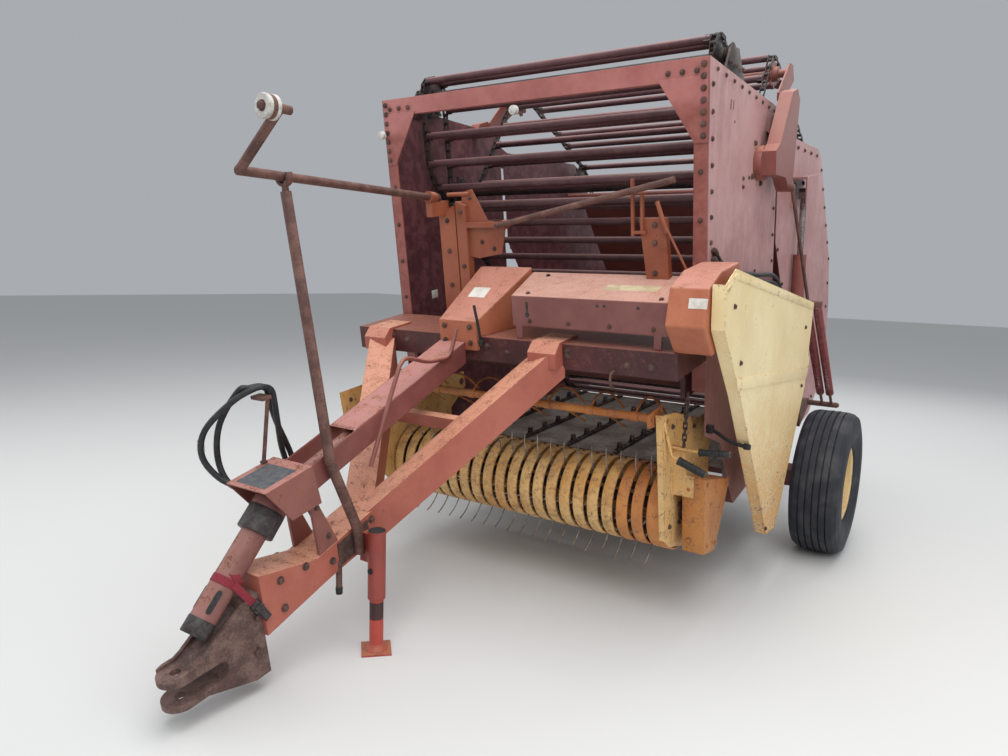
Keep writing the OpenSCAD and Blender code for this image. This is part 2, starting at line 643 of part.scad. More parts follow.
module twine_tube() parked() color(dark_red) {
    bar([tube_pivot.x, -1190, tube_pivot.z], [700, -1190, 2000], 13);
    translate([tube_pivot.x, -1216, tube_pivot.z]) rotate([-90, 0, 0]) cylinder(h = 92, r = 9);
}

crank_far = [-456, -1170, 1964];
crank_near = [-300, -2352, 2127];
crank_r = 16;
cradle_share = 0.835;
cradle = crank_far + cradle_share * (crank_near - crank_far);
function crank_on(d) = crank_far + d * unit(crank_near - crank_far);
post_base = [tongue_x + tongue_half + 19 + seat, -2213, 740];
post_step = [post_base.x, post_base.y, 846];
post_bend = [-121, -2300, 1125];
module crank_post() parked() color([0.42, 0.26, 0.24]) {
    bar(post_base, post_step + [0, 0, 8], 19);
    bar(post_step, post_bend + [0, 0, 6], 19);
    bar(post_bend, cradle - [0, 0, 52], 19);
    // Open hook that the crank rod lies in
    difference() {
        translate(cradle + [0, -12, 0]) rotate([-90, 0, 0]) cylinder(h = 24, r = 34);
        translate(cradle + [0, -30, 0]) rotate([-90, 0, 0]) cylinder(h = 60, r = 24);
        translate(cradle + [-50, -30, 14]) cube([100, 60, 60]);
    }
    translate(cradle - [0, 0, 54]) cylinder(h = 26, r = 12);
}
module crank() parked() color([0.45, 0.27, 0.24]) {
    bar(crank_far, crank_near + [0, -8, 0], crank_r);
    grip = crank_near + [204, 20, 168];
    bar(crank_near, grip, crank_r);
    bar(grip + [0, 40, -6], grip + [0, -45, 6], 14);
    bar(grip + [0, -20, 0], grip + [0, -62, 6], 36);
}

module hose_holder() parked() color(rust_orange) {
    box([tongue_x - 99, -2440, 1148.4], [tongue_x - 80, -2420, 1158]);
    bar([tongue_x - 90, -2430, 1153], [tongue_x - 60, -2395, 1382], 7);
    box([tongue_x - 114, -2425, 1376], [tongue_x - 50, -2385, 1388]);
}

hose_r = 11;
module tongue_hoses() parked() color(black) {
    for (k = [0, 1]) {
        d = 28 * k;
        e = -26 * k;
        hose([[-280, -2262 + d, 833.7 + d / 5], [-302, -2270 + d, 900], [-334, -2290 + d, 1000],
            [-336, -2325 + d, 1150], [-310 + e, -2348 + d / 2, 1270], [-292 + e, -2362, 1360], [-290 + e, -2368, 1397],
            [-290 + e, -2392, 1416], [-300 + e, -2430, 1419], [-345, -2490 + d, 1385 + d],
            [-410, -2565 + 2 * d, 1300], [-438, -2575 + 2 * d, 1200 - d], [-400, -2540 + d, 1110 - d],
            [-331.6, -2490 + d, 1075 - 24 * k]], hose_r);
    }
}
module side_hoses() parked() color(black)
    for (d = [0, 34])
        hose([[half_w + 10.4, -1060, 1690 + d], [half_w + 10.4, -955, 1621 + d], [half_w + 10.4, -780, 1561 + d],
            [half_w + 11, -450, 1500 + d], [half_w + 20, -140, 1440 + d], [half_w + 22, 0 + d, 1300],
            [half_w + 22, 60 + d, 1120], [half_w + 10.4, 90 + d, 960 + d]], 10);

module jack_tube() color(rust_red) translate([jack_x, jack_y + shift_y, 0]) {
    difference() {
        translate([0, 0, 205]) cylinder(h = 260, r = jack_r);
        translate([0, 0, 200]) cylinder(h = 250, r = jack_leg_r + 0.3);
    }
    // Bracket on the side of the tongue
    translate([tongue_x + tongue_half + seat - jack_x, 2, 330])
        cube([-tongue_x - tongue_half - seat + jack_x - jack_r + 6, 50, 110]);
}
module jack_leg() color(rust_red) translate([jack_x, jack_y + shift_y, 0]) {
    translate([0, 0, 5]) cylinder(h = 295, r = jack_leg_r);
    rotate(45) translate([-55, -55, 0]) cube([110, 110, 6]);
}

module left_shield() parked() color(cream) {
    plate_x([[-1433, 1652], [-1324, 1691], [-4, 1330], [-124, 922], [-618, 362], [-780, 400], [-1232, 1189],
        [-1444, 1494]], shield_x, sheet_t);
    // Front return of the sheet
    for (s = [[[-1433, 1652], [-1444, 1494]], [[-1444, 1494], [-1232, 1189]], [[-1232, 1189], [-780, 400]]]) {
        a = s[0];
        b = s[1];
        plate_x([a, b, b + [6, 0], a + [6, 0]], shield_x - 44, 46);
    }
    for (z = shield_knuckles) difference() {
        union() {
            translate([shield_hinge.x, shield_hinge.y, z]) cylinder(h = 50, r = 12);
            box([shield_x - 4, shield_hinge.y - 90, z + 2], [shield_x + 2, shield_hinge.y + 8, z + 48]);
        }
        translate([shield_hinge.x, shield_hinge.y, z - 1]) cylinder(h = 60, r = 5.3);
    }
}

gate_points = [
    [-95, 2150], [-60, 2165], [790, 2072], [890, 2020], [1298, 1370], [rear_y, rear_z], rear_low, [1130, 520],
    [900, 430], [640, 430], [560, 560], [-85, 1640], [-92, 2080]
];
module tailgate_sheets() parked() color(pale_red) both_sides() {
    difference() {
        plate_x(gate_points, sheet_in, sheet_t);
        shaft_x(hinge_y, hinge_z, sheet_in - 20, half_w + 20, hinge_r + 0.3);
    }
    // Channel that the lift cylinder pushes on
    box([half_w - 1, 180, 1930], [half_w + 80, 440, 1942]);
    box([half_w - 1, 180, 1790], [half_w + 8, 440, 1931]);
    box([half_w + 72, 180, 1790], [half_w + 80, 440, 1931]);
}
// Sheet across the tailgate, between the outer and the inner run of the apron
back_sheet = [[700, 1860], [1085, 1270], [1150, 1100], [1150, 900], [1110, 760], [960, 650], [700, 640]];
gate_tube_r = 18;
function past_tube(a, b) = a + (gate_tube_r + seat) * unit(b - a);
module gate_panel(line) plate_x(concat(line, back(beside(line, -2.5))), -700, 1400);
module tailgate_frame() parked() color(rust_red) {
    // Panels of the back sheet, each reaching from one cross tube to the next
    gate_panel([back_sheet[0], back_sheet[1]]);
    gate_panel([past_tube(back_sheet[1], back_sheet[2]), back_sheet[2], back_sheet[3]]);
    gate_panel([past_tube(back_sheet[3], back_sheet[4]), back_sheet[4], back_sheet[5], back_sheet[6]]);
    for (p = [back_sheet[0], back_sheet[1], back_sheet[3], back_sheet[6]])
        shaft_x(p.x, p.y, -sheet_in + 0.3, sheet_in - 0.3, gate_tube_r);
    for (p = [[930, 1940, 30], [1300, 1280, 25], [1310, 860, 25], [760, 460, 20]])
        shaft_x(p.x, p.y, -sheet_in + 0.3, sheet_in - 0.3, p.z);
}
module tailgate_rollers() parked() color(steel)
    for (p = [gate_sprocket, low_sprocket]) {
        shaft_x(p.x, p.y, -sheet_in + 0.3, sheet_in - 0.3, 19);
        both_sides() sprocket(p.x, p.y, wheel_teeth_r, chain_x, 12, 9);
    }

lift_x = half_w + 40;
lift_top = [300, 1850];
barrel_r = 34;
barrel_share = 0.70;
function lift_dir() = unit([lift_top.x - lift_y, lift_top.y - lift_z]);
function lift_at(d) = [lift_x, lift_y + d * lift_dir().x, lift_z + d * lift_dir().y];
lift_len = norm([lift_top.x - lift_y, lift_top.y - lift_z]);
module cylinder_barrel() difference() {
    union() {
        bar(lift_at(60), lift_at(lift_len * barrel_share), barrel_r);
        shaft_x(lift_y, lift_z, lift_x - 9, lift_x + 33, 30);
        bar(lift_at(20), lift_at(70), 18);
    }
    shaft_x(lift_y, lift_z, lift_x - 40, lift_x + 60, 14.3);
    bar(lift_at(lift_len * 0.3), lift_at(lift_len), 16.3);
}
module cylinder_rod() {
    bar(lift_at(lift_len * 0.32), lift_at(lift_len - 20), 16);
    shaft_x(lift_top.x, lift_top.y, lift_x - 22, lift_x + 22, 30);
}
module cylinder_left() parked() color(pale_red) cylinder_barrel();
module cylinder_right() parked() color(pale_red) mirror([1, 0, 0]) cylinder_barrel();
module cylinder_rod_left() parked() color(steel) cylinder_rod();
module cylinder_rod_right() parked() color(steel) mirror([1, 0, 0]) cylinder_rod();

// Bars behind the reel that carry the bands, and the guard's pipe over it
bar_r = 14;
top_bar = [-898, 690];
low_bar = [-960, 470];
guard_pipe = [-1350, 1100];
near_plate = [
    [-1405, 1137], [-1270, 1110], [-1000, 1000], [-720, 985], [-715, 900], [-860, 810], [-872, 560], [-935, 448],
    [-1100, 448], [-1341, 548], [-1378, 591], [-1395, 1008]
];
far_plate = [
    [-1660, 1130], [-1500, 1128], [-1365, 1150], [-1080, 1110], [-1000, 1020], [-720, 985], [-715, 900],
    [-860, 810], [-872, 560], [-935, 448], [-1190, 455], [-1380, 560], [-1470, 693], [-1473, 756], [-1651, 975]
];
module plate_holes() {
    shaft_x(pivot_y, pivot_z, -pickup_half - 20, pickup_half + 20, pivot_r + 0.3);
    shaft_x(guard_pipe.x, guard_pipe.y, -pickup_half - 20, pickup_half + 20, 10.4);
    shaft_x(pickup_y, pickup_z, -pickup_half - 20, pickup_half + 20, 25.4);
}
module pickup_frame() parked() color(yellow) {
    difference() {
        union() {
            plate_x(near_plate, pickup_half, sheet_t);
            plate_x(far_plate, -pickup_half - sheet_t, sheet_t);
        }
        plate_holes();
    }
    // Front flange of the near plate, turned inward
    plate_x([[-1405, 1137], [-1400, 1136], [-1390, 1008], [-1373, 593], [-1378, 591], [-1395, 1008]],
        pickup_half - 22, 24);
    for (p = [top_bar, low_bar])
        shaft_x(p.x, p.y, -pickup_half - 1, pickup_half + 1, bar_r);
    // Pan behind the reel
    pan = [low_bar, [-893, 560], top_bar];
    plate_x(concat(pan, back(beside(pan, -3))), -pickup_half - 1, 2 * pickup_half + 2);
    // Drive cover outside the near plate, and the brackets that hold it
    plate_x([[-1285, 850], [-965, 730], [-1150, 476], [-1285, 520]], pickup_half + 42, 90);
    box([pickup_half + sheet_t - 1, -1180, 690], [pickup_half + 43, -1090, 740]);
    box([pickup_half + sheet_t - 1, -1294, 765], [pickup_half + 92, -1288, 860]);
    box([pickup_half + sheet_t - 1, -1294, 858], [pickup_half + 60, -1288, 980]);
    // Two control rods with grips
    bar([pickup_half + 3, -1385, 1110], [pickup_half + 22, -1352, 957], 6);
    bar([pickup_half + 22, -1352, 958], [pickup_half + 52, -1350, 941], 6);
    bar([pickup_half + 50, -1350, 942], [pickup_half + 158, -1350, 900], 14);
    bar([pickup_half + 3, -1300, 973], [pickup_half + 120, -1300, 969], 6);
    bar([pickup_half + 116, -1300, 969], [pickup_half + 236, -1300, 980], 12);
}

band_t = 4;
band_mid = band_r - band_t / 2;
band_pitch = (drum_x + pickup_half) / band_n;
band_gap = band_pitch - band_w;
reel_at = [pickup_y, pickup_z];
module pickup_bands() parked() color(yellow) {
    for (i = [0:band_n - 1])
        band(-pickup_half + i * band_pitch + band_gap / 2, band_w);
    band(drum_x + band_gap / 2, pickup_half - seat - drum_x - band_gap / 2);
}
module band(x, w) translate([x, pickup_y, pickup_z]) rotate([90, 0, 90]) linear_extrude(w) band_section();

// Where the straight end of a band to the bar at p leaves the round part, over
// (side 1) or under (side -1) the reel.
function leaves_at(p, side) = atan2(p.y, p.x) + side * acos(band_mid / norm(p));
module band_section() {
    over = leaves_at(top_bar - reel_at, 1);
    under = leaves_at(low_bar - reel_at, -1);
    difference() {
        circle(r = band_r, $fn = 64);
        circle(r = band_r - band_t, $fn = 64);
        polygon([[0, 0], 400 * [cos(over), sin(over)], [400, 400], [400, -400], 400 * [cos(under), sin(under)]]);
    }
    band_end(top_bar - reel_at, over, 1);
    band_end(low_bar - reel_at, under, -1);
}
module band_end(p, a, side) {
    v = unit(p - band_mid * [cos(a), sin(a)]);
    strip(band_mid * [cos(a + 3 * side), sin(a + 3 * side)],
        p + side * [-v.y, v.x] * (bar_r + seat + band_t / 2 + 0.2), band_t);
}

// Curved tines, bent forward at their tips, in the gaps between the bands
tine_bars = 3;
tine_root = 112;
tine_lead = 12;
module pickup_reel() parked() color(steel) {
    shaft_x(pickup_y, pickup_z, -pickup_half - 4, pickup_half + 4, 25);
    both_sides() shaft_x(pickup_y, pickup_z, pickup_half - 20, pickup_half - 12, 125);
    for (k = [0:tine_bars - 1]) {
        a = 360 * k / tine_bars;
        shaft_x(pickup_y + tine_root * cos(a), pickup_z + tine_root * sin(a), -pickup_half + 14, pickup_half - 14, 10);
        for (i = [1:band_n])
            bent_wire([for (t = [0:0.5:1])
                let (r = tine_root + t * (tine_reach - tine_root), b = a - tine_lead * t * t)
                [pickup_y + r * cos(b), pickup_z + r * sin(b)]], -pickup_half + i * band_pitch, tine_r, 2);
    }
}

module wind_guard() parked() color(yellow) {
    shaft_x(guard_pipe.x, guard_pipe.y, -pickup_half + 2, pickup_half - 2, 17);
    shaft_x(guard_pipe.x, guard_pipe.y, -pickup_half - 12, pickup_half + 6, 10);
    shaft_x(guard_pipe.x, guard_pipe.y, -pickup_half - 52, -pickup_half - sheet_t - 2, 23);
    // End plate at the driven side
    plate_x([[-1319, 1158], [-1332, 1068], [-1462, 1100], [-1471, 1149]], pickup_half - 32, 5);
    // Rods that arch over the crop, and straight ones under them
    for (x = [-600:200:600]) {
        bent_wire([guard_pipe + [6, 10], [-1285, 1142], [-1200, 1136], [-1110, 1085], [-1030, 1012]], x, 5, 3);
        bar([x + 60, guard_pipe.x, guard_pipe.y], [x + 60, -1140, 965], 4);
    }
}

module tyre() translate([wheel_x, shift_y, tyre_r]) rotate([0, 90, 0]) rotate_extrude($fn = 96) {
    w = tyre_w / 2;
    ribs = 6;
    rib = (2 * w - 50) / ribs;
    polygon(concat(
        [[rim_r, -w + 40], [rim_r + 12, -w + 22], [rim_r + 70, -w], [tyre_r - 60, -w + 1], [tyre_r - 22, -w + 10]],
        [for (i = [0:ribs - 1]) each [[tyre_r - (i == 0 ? 8 : 2), -w + 25 + i * rib + 4],
            [tyre_r - (i == ribs - 1 ? 8 : 2) + (i == 2 || i == 3 ? 2 : 0), -w + 25 + (i + 1) * rib - 4],
            if (i < ribs - 1) [tyre_r - 12, -w + 25 + (i + 1) * rib - 2],
            if (i < ribs - 1) [tyre_r - 12, -w + 25 + (i + 1) * rib + 2]]],
        [[tyre_r - 22, w - 10], [tyre_r - 60, w - 1], [rim_r + 70, w], [rim_r + 12, w - 22], [rim_r, w - 40]]));
}
module rim() translate([wheel_x, shift_y, tyre_r]) rotate([0, 90, 0]) {
    w = tyre_w / 2;
    rotate_extrude($fn = 96) polygon([[rim_r - 0.3, -w + 30], [rim_r - 0.3, w - 30], [rim_r - 14, w - 26],
        [rim_r - 20, w - 34], [rim_r - 26, 20], [120, 0], [60, -18], [60, 10], [34, 14], [34, 40], [0, 46],
        [0, 20], [30.3, 20], [30.3, -60], [52, -60], [58, -30], [120, -8], [rim_r - 30, 12], [rim_r - 22, -w + 34]]);
}
module tyre_left() color(tyre_black) tyre();
module tyre_right() color(tyre_black) mirror([1, 0, 0]) tyre();
module rim_left() color(cream) rim();
module rim_right() color(cream) mirror([1, 0, 0]) rim();

side_sheet_left();
side_sheet_right();
front_frame();
cross_beam();
axle_frame();
floor();
floor_chains();
tongue();
hitch_clevis();
shaft_hood();
shaft_shield();
front_shaft();
gear_cover();
driveline_cover();
end_guard();
apron_front();
apron_sprockets();
take_up_arms();
tension_springs();
twine_stands();
twine_tube();
crank_post();
crank();
hose_holder();
tongue_hoses();
side_hoses();
jack_tube();
jack_leg();
left_shield();
tailgate_sheets();
tailgate_frame();
apron_rear();
tailgate_rollers();
cylinder_left();
cylinder_rod_left();
cylinder_right();
cylinder_rod_right();
pickup_frame();
pickup_bands();
pickup_reel();
wind_guard();
tyre_left();
rim_left();
tyre_right();
rim_right();
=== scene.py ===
from math import acos, atan2, cos, degrees, pi, radians, sin, tan, tau
import bmesh
import bpy
from mathutils import Matrix, Vector


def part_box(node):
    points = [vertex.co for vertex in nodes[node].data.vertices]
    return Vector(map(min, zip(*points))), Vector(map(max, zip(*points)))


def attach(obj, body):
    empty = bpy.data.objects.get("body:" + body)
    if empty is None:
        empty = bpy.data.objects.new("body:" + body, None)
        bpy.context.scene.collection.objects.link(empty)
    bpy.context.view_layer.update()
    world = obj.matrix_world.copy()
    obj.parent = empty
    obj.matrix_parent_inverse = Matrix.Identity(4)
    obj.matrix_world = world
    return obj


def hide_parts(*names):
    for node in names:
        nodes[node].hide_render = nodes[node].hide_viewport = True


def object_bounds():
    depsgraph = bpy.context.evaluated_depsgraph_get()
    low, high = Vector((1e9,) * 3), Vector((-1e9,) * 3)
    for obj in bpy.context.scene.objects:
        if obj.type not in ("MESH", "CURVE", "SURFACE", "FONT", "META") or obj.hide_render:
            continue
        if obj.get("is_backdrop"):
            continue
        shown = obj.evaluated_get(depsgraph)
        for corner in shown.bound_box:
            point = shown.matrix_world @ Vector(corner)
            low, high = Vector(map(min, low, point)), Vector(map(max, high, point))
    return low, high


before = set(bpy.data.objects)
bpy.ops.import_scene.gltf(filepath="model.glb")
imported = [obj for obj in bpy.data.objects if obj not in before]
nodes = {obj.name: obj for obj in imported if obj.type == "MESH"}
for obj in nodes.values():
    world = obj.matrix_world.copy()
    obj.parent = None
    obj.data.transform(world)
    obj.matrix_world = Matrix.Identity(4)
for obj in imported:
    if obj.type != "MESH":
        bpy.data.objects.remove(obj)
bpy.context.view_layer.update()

# The machine is drawn level, with its origin on the ground under the axle, and is
# then set down nose first on its jack, as the CAD is.
PARK_TILT = radians(9.5)
WHEEL_R = 0.375
low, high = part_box("rim_left")
AXLE_Y = (low.y + high.y) / 2
SET_DOWN = (Matrix.Translation((0, AXLE_Y, WHEEL_R)) @ Matrix.Rotation(PARK_TILT, 4, "X")
            @ Matrix.Translation((0, 0, -WHEEL_R)))


def linear(r, g, b):
    """An sRGB colour, 0 to 255, as the shaders want it."""
    def one(c):
        c = c / 255
        return c / 12.92 if c <= 0.04045 else ((c + 0.055) / 1.055) ** 2.4
    return (one(r), one(g), one(b), 1.0)


# Faces that many bolts and marks sit on, from the middle of the machine
SHEET_FACE, SHEET_INSIDE = 0.8003, 0.7947
PLATE_FACE = 0.7352
HUB_X = 1.09

# Camera at the photograph's place, height and angle.
SENSOR = 36
PHOTO_WIDTH, FOCAL_PIXELS = 1008, 738.7
CAMERA_AT = (1.755, AXLE_Y - 4.152, 1.413)
YAW, PITCH, ROLL = radians(-33.48), radians(8.03), radians(-1.76)
forward = Vector((sin(YAW) * cos(PITCH), cos(YAW) * cos(PITCH), -sin(PITCH)))
level_right = Vector((cos(YAW), -sin(YAW), 0))
level_down = forward.cross(level_right)
right = cos(ROLL) * level_right + sin(ROLL) * level_down
down = -sin(ROLL) * level_right + cos(ROLL) * level_down
camera_data = bpy.data.cameras.new("camera")
camera_data.sensor_width = SENSOR
camera_data.lens = FOCAL_PIXELS * SENSOR / PHOTO_WIDTH
camera = bpy.data.objects.new("camera", camera_data)
camera.matrix_world = Matrix((*zip(right, -down, -forward, CAMERA_AT), (0, 0, 0, 1)))
bpy.context.scene.collection.objects.link(camera)
bpy.context.scene.camera = camera
bpy.context.scene.view_settings.view_transform = "Standard"


# Finishes
# The colour sockets among those of a mix node, which has a set for each kind of value
MIX_FACTOR, MIX_A, MIX_B, MIX_RESULT = 0, 6, 7, 2


class Value:
    """A socket that takes Python's operators as shader maths."""

    def __init__(self, finish, socket):
        self.finish = finish
        self.socket = socket

    def maths(self, operation, *values):
        return self.finish.node("ShaderNodeMath", list(values), operation=operation)

    def __add__(self, other):
        return self.maths("ADD", self, other)

    def __sub__(self, other):
        return self.maths("SUBTRACT", self, other)

    def __rsub__(self, other):
        return self.maths("SUBTRACT", other, self)

    def __mul__(self, other):
        return self.maths("MULTIPLY", self, other)

    __radd__ = __add__
    __rmul__ = __mul__

    def between(self, start, end):
        """0 below start, 1 above end, smooth between."""
        return self.finish.node("ShaderNodeMapRange", {"Value": self, "From Min": start, "From Max": end},
            interpolation_type="SMOOTHSTEP")


class Finish:
    """A material whose nodes are added one by one."""

    def __init__(self, name):
        self.material = bpy.data.materials.new(name)
        self.material.use_nodes = True
        self.tree = self.material.node_tree
        self.tree.nodes.clear()
        output = self.tree.nodes.new("ShaderNodeOutputMaterial")
        self.shader = self.tree.nodes.new("ShaderNodeBsdfPrincipled")
        self.tree.links.new(self.shader.outputs[0], output.inputs[0])
        coordinates = self.tree.nodes.new("ShaderNodeTexCoord")
        self.place = Value(self, coordinates.outputs["Object"])
        self.facing = Value(self, coordinates.outputs["Normal"])

    def plug(self, socket, value):
        if isinstance(value, Value):
            self.tree.links.new(value.socket, socket)
        else:
            socket.default_value = value

    def node(self, kind, values, out=0, **settings):
        node = self.tree.nodes.new(kind)
        for key, value in settings.items():
            setattr(node, key, value)
        pairs = values.items() if isinstance(values, dict) else enumerate(values)
        for key, value in pairs:
            self.plug(node.inputs[key], value)
        return Value(self, node.outputs[out])

    def stretched(self, x, y, z):
        return self.node("ShaderNodeMapping", {"Vector": self.place, "Scale": (x, y, z)})

    def noise(self, scale, detail=4.0, rough=0.55, place=None):
        return self.node("ShaderNodeTexNoise", {"Vector": place or self.place, "Scale": scale,
            "Detail": detail, "Roughness": rough})

    def mix(self, factor, first, second):
        """Mixes two colours, either of them perhaps plain sRGB."""
        node = self.tree.nodes.new("ShaderNodeMix")
        node.data_type = "RGBA"
        self.plug(node.inputs[MIX_FACTOR], factor)
        for socket, colour in ((MIX_A, first), (MIX_B, second)):
            self.plug(node.inputs[socket], colour if isinstance(colour, Value) else linear(*colour))
        return Value(self, node.outputs[MIX_RESULT])

    def part(self, vector, axis):
        return self.node("ShaderNodeSeparateXYZ", [vector], out=axis)

    def upward(self):
        """How far a face looks up, 0 to 1."""
        return self.part(self.facing, "Z").between(0.2, 0.95)

    def edges(self, radius):
        """1 on edges, from the bevelled normal."""
        round_normal = self.node("ShaderNodeBevel", {"Radius": radius}, samples=4)
        plain_normal = self.node("ShaderNodeNewGeometry", {}, out="Normal")
        same = self.node("ShaderNodeVectorMath", [round_normal, plain_normal], out="Value",
            operation="DOT_PRODUCT")
        return 1 - same.between(0.72, 0.985)

    def wear(self, colour, roughness, height, metallic=0.0, strength=0.4, distance=0.002):
        bump = self.node("ShaderNodeBump", {"Strength": strength, "Distance": distance, "Height": height})
        for name, value in (("Base Color", colour), ("Roughness", roughness), ("Metallic", metallic),
                ("Normal", bump)):
            self.plug(self.shader.inputs[name], value)
        return self.material


RUST_DARK = (84, 50, 42)
RUST_MID = (132, 82, 62)
RUST_PALE = (178, 124, 88)


def old_paint(name, paint, faded, rust=0.45, top_rust=0.05, streaks=0.0, edge=0.006, bare=RUST_DARK,
        gloss=0.5, dirt=0.3, coarse=1.0, inside_shade=None, top_fade_and_light=None, foot=None, band=None, low=None):
    """Farm paint: blotched, streaked, speckled with rust, worn through on its edges.

    top_fade_and_light is what its upper faces turn to: partly a real sun fade and partly painted
    light, the tops painted paler as if lit from above. inside_shade is painted shade: the darker
    colours put on the faces that look inward between the side sheets. foot is the heights in metres
    between which rust creeps up from below, band is a black stretch, and low is a pair of heights
    with the colour below them and how patchy it is.
    """
    f = Finish(name)
    broad = f.noise(1.3 * coarse, 3)
    blotch = f.noise(7 * coarse, 5)
    patch = f.noise(22 * coarse, 6, 0.6)
    speck = f.noise(130 * coarse, 5, 0.62)
    grain = f.noise(420, 3)
    level = f.part(f.place, "Z")
    fade = (broad * 0.5 + blotch * 0.3 + patch * 0.2).between(0.36, 0.64)
    colour = f.mix(fade, paint, faded)
    if streaks:
        run = f.noise(1.0, 5, 0.6, f.stretched(38, 38, 1.2))
        colour = f.mix(run.between(0.5, 0.72) * streaks, colour, faded)
        dark_run = f.noise(1.0, 4, 0.6, f.stretched(22, 22, 0.8))
        colour = f.mix(dark_run.between(0.56, 0.78) * streaks * 0.6, colour, paint)
    colour = f.mix(f.noise(4.5 * coarse, 6).between(0.52, 0.76) * dirt, colour, (104, 84, 74))
    colour = f.mix(grain.between(0.3, 0.7) * 0.12, colour, faded)
    if low:
        start, end, lower, patchy = low
        colour = f.mix((1 - level.between(start, end)) * (1 - patch.between(0.4, 0.64) * patchy), colour,
            lower)
    # Painted light on upward faces: they turn paler, partly a real sun fade and partly light painted in as
    # if from above, with pale rust specks in it.
    if top_fade_and_light:
        faded_lit_top = f.mix((speck * 0.6 + patch * 0.4).between(0.44, 0.6) * 0.55, top_fade_and_light, RUST_PALE)
        colour = f.mix(f.upward() * (0.7 + blotch * 0.4), colour, faded_lit_top)
    worn = speck * 0.5 + patch * 0.5 + f.upward() * top_rust
    if foot:
        worn = worn + (1 - level.between(*foot)) * 0.1
    if edge:
        worn = worn + f.edges(edge) * (0.05 + 0.12 * rust)
    limit = 0.71 - 0.2 * rust
    through = worn.between(limit, limit + 0.045)
    spots = f.mix(grain.between(0.35, 0.65), bare, RUST_MID)
    spots = f.mix(blotch.between(0.45, 0.7) * 0.7, spots, RUST_PALE if rust > 0.5 else RUST_MID)
    colour = f.mix(worn.between(limit - 0.09, limit + 0.02) * 0.4, colour, RUST_MID)
    colour = f.mix(through * 0.85, colour, spots)
    # Painted shade: faces that look inward between the side sheets take the darker inside colours, as though
    # in the shade there; spots worn through still show bare metal.
    if inside_shade:
        outward = (f.part(f.facing, "X") * f.part(f.place, "X")).between(-0.3, 0.3)
        shade = f.mix(patch.between(0.4, 0.62), *inside_shade)
        shade = f.mix(through, shade, bare)
        colour = f.mix(outward, shade, colour)
    if band:
        inside = level.between(band[0], band[0] + 0.003) * (1 - level.between(band[1], band[1] + 0.003))
        colour = f.mix(inside * 0.92, colour, (34, 30, 32))
    rough = gloss + through * (0.86 - gloss) + (blotch - 0.5) * 0.16
    height = through * -0.6 + grain * 0.16 + speck * 0.35
    return f.wear(colour, rough, height, strength=0.3, distance=0.0012)


def rusted_steel(name, dark, pale, shine=0.0, scale=1.0, rough=0.72):
    f = Finish(name)
    blotch = f.noise(16 * scale, 6, 0.6)
    speck = f.noise(120 * scale, 6, 0.65)
    colour = f.mix((blotch * 0.6 + speck * 0.4).between(0.4, 0.62), dark, pale)
    colour = f.mix(f.noise(55 * scale, 5).between(0.58, 0.72) * 0.5, colour, RUST_MID)
    rim = f.edges(0.004)
    colour = f.mix(rim * 0.35, colour, pale)
    return f.wear(colour, rough - rim * shine * 0.3 + (speck - 0.5) * 0.2, blotch * 0.5 + speck * 0.6,
        metallic=shine, strength=0.45, distance=0.0018)


def plain(name, base, second, rough, scale=60, bump=0.15, metallic=0.0, distance=0.001):
    f = Finish(name)
    blotch = f.noise(scale, 5, 0.6)
    colour = f.mix(blotch.between(0.35, 0.7), base, second)
    return f.wear(colour, rough + (f.noise(scale * 0.3, 3) - 0.5) * 0.18, blotch, metallic=metallic,
        strength=bump, distance=distance)


# Painted shade for the inward faces of the side sheets and the tailgate.
INSIDE_SHADE = ((84, 44, 50), (112, 66, 70))
red = old_paint("faded_red_paint", (112, 58, 52), (138, 80, 72), rust=0.46, top_rust=0.04,
    top_fade_and_light=(168, 108, 96))
# Painted shadow: the cross beam's paint is set darker than its own red, partly standing in for the shadow
# the cover casts on it.
shadowed_beam_red = old_paint("shaded_beam_paint", (66, 32, 34), (92, 48, 48), rust=0.5, top_fade_and_light=(140, 84, 76))
jack_red = old_paint("jack_paint", (132, 50, 44), (154, 70, 60), rust=0.5, top_fade_and_light=(160, 92, 80))
leg_red = old_paint("jack_leg_paint", (160, 54, 46), (184, 76, 62), rust=0.45, top_fade_and_light=(176, 112, 84),
    band=(0.125, 0.192))
FRAME_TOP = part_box("front_frame")[1].z
beam_red = old_paint("front_beam_paint", (156, 88, 82), (184, 118, 112), rust=0.26, top_rust=0.02,
                     top_fade_and_light=(190, 130, 124), low=(FRAME_TOP - 0.19, FRAME_TOP - 0.13, (138, 76, 66), 0.35))
tongue_red = old_paint("tongue_paint", (158, 80, 64), (184, 106, 88), rust=0.4, top_rust=0.05, dirt=0.2,
    top_fade_and_light=(220, 158, 130))
sheet_pink = old_paint("side_sheet_paint", (158, 108, 106), (192, 150, 147), rust=0.1, streaks=0.7,
    edge=0.004, inside_shade=INSIDE_SHADE)
gate_pink = old_paint("tailgate_paint", (166, 116, 114), (196, 154, 151), rust=0.18, streaks=0.5, edge=0.004,
    inside_shade=INSIDE_SHADE)
maroon = old_paint("shaded_maroon_paint", (84, 42, 44), (112, 62, 62), rust=0.25, edge=0.004)
orange = old_paint("faded_orange_paint", (164, 90, 62), (194, 120, 88), rust=0.44, top_rust=0.03,
    top_fade_and_light=(194, 134, 120))
cover_red = old_paint("driveline_cover_paint", (120, 72, 68), (142, 92, 86), rust=0.22, top_rust=0.02,
    top_fade_and_light=(206, 160, 146))
hood_red = old_paint("hood_paint", (124, 72, 64), (150, 94, 84), rust=0.62, top_rust=0.05,
    top_fade_and_light=(178, 124, 116))
shield_red = old_paint("shaft_shield_paint", (120, 64, 60), (148, 88, 82), rust=0.45, top_rust=0.03,
    top_fade_and_light=(184, 128, 124))
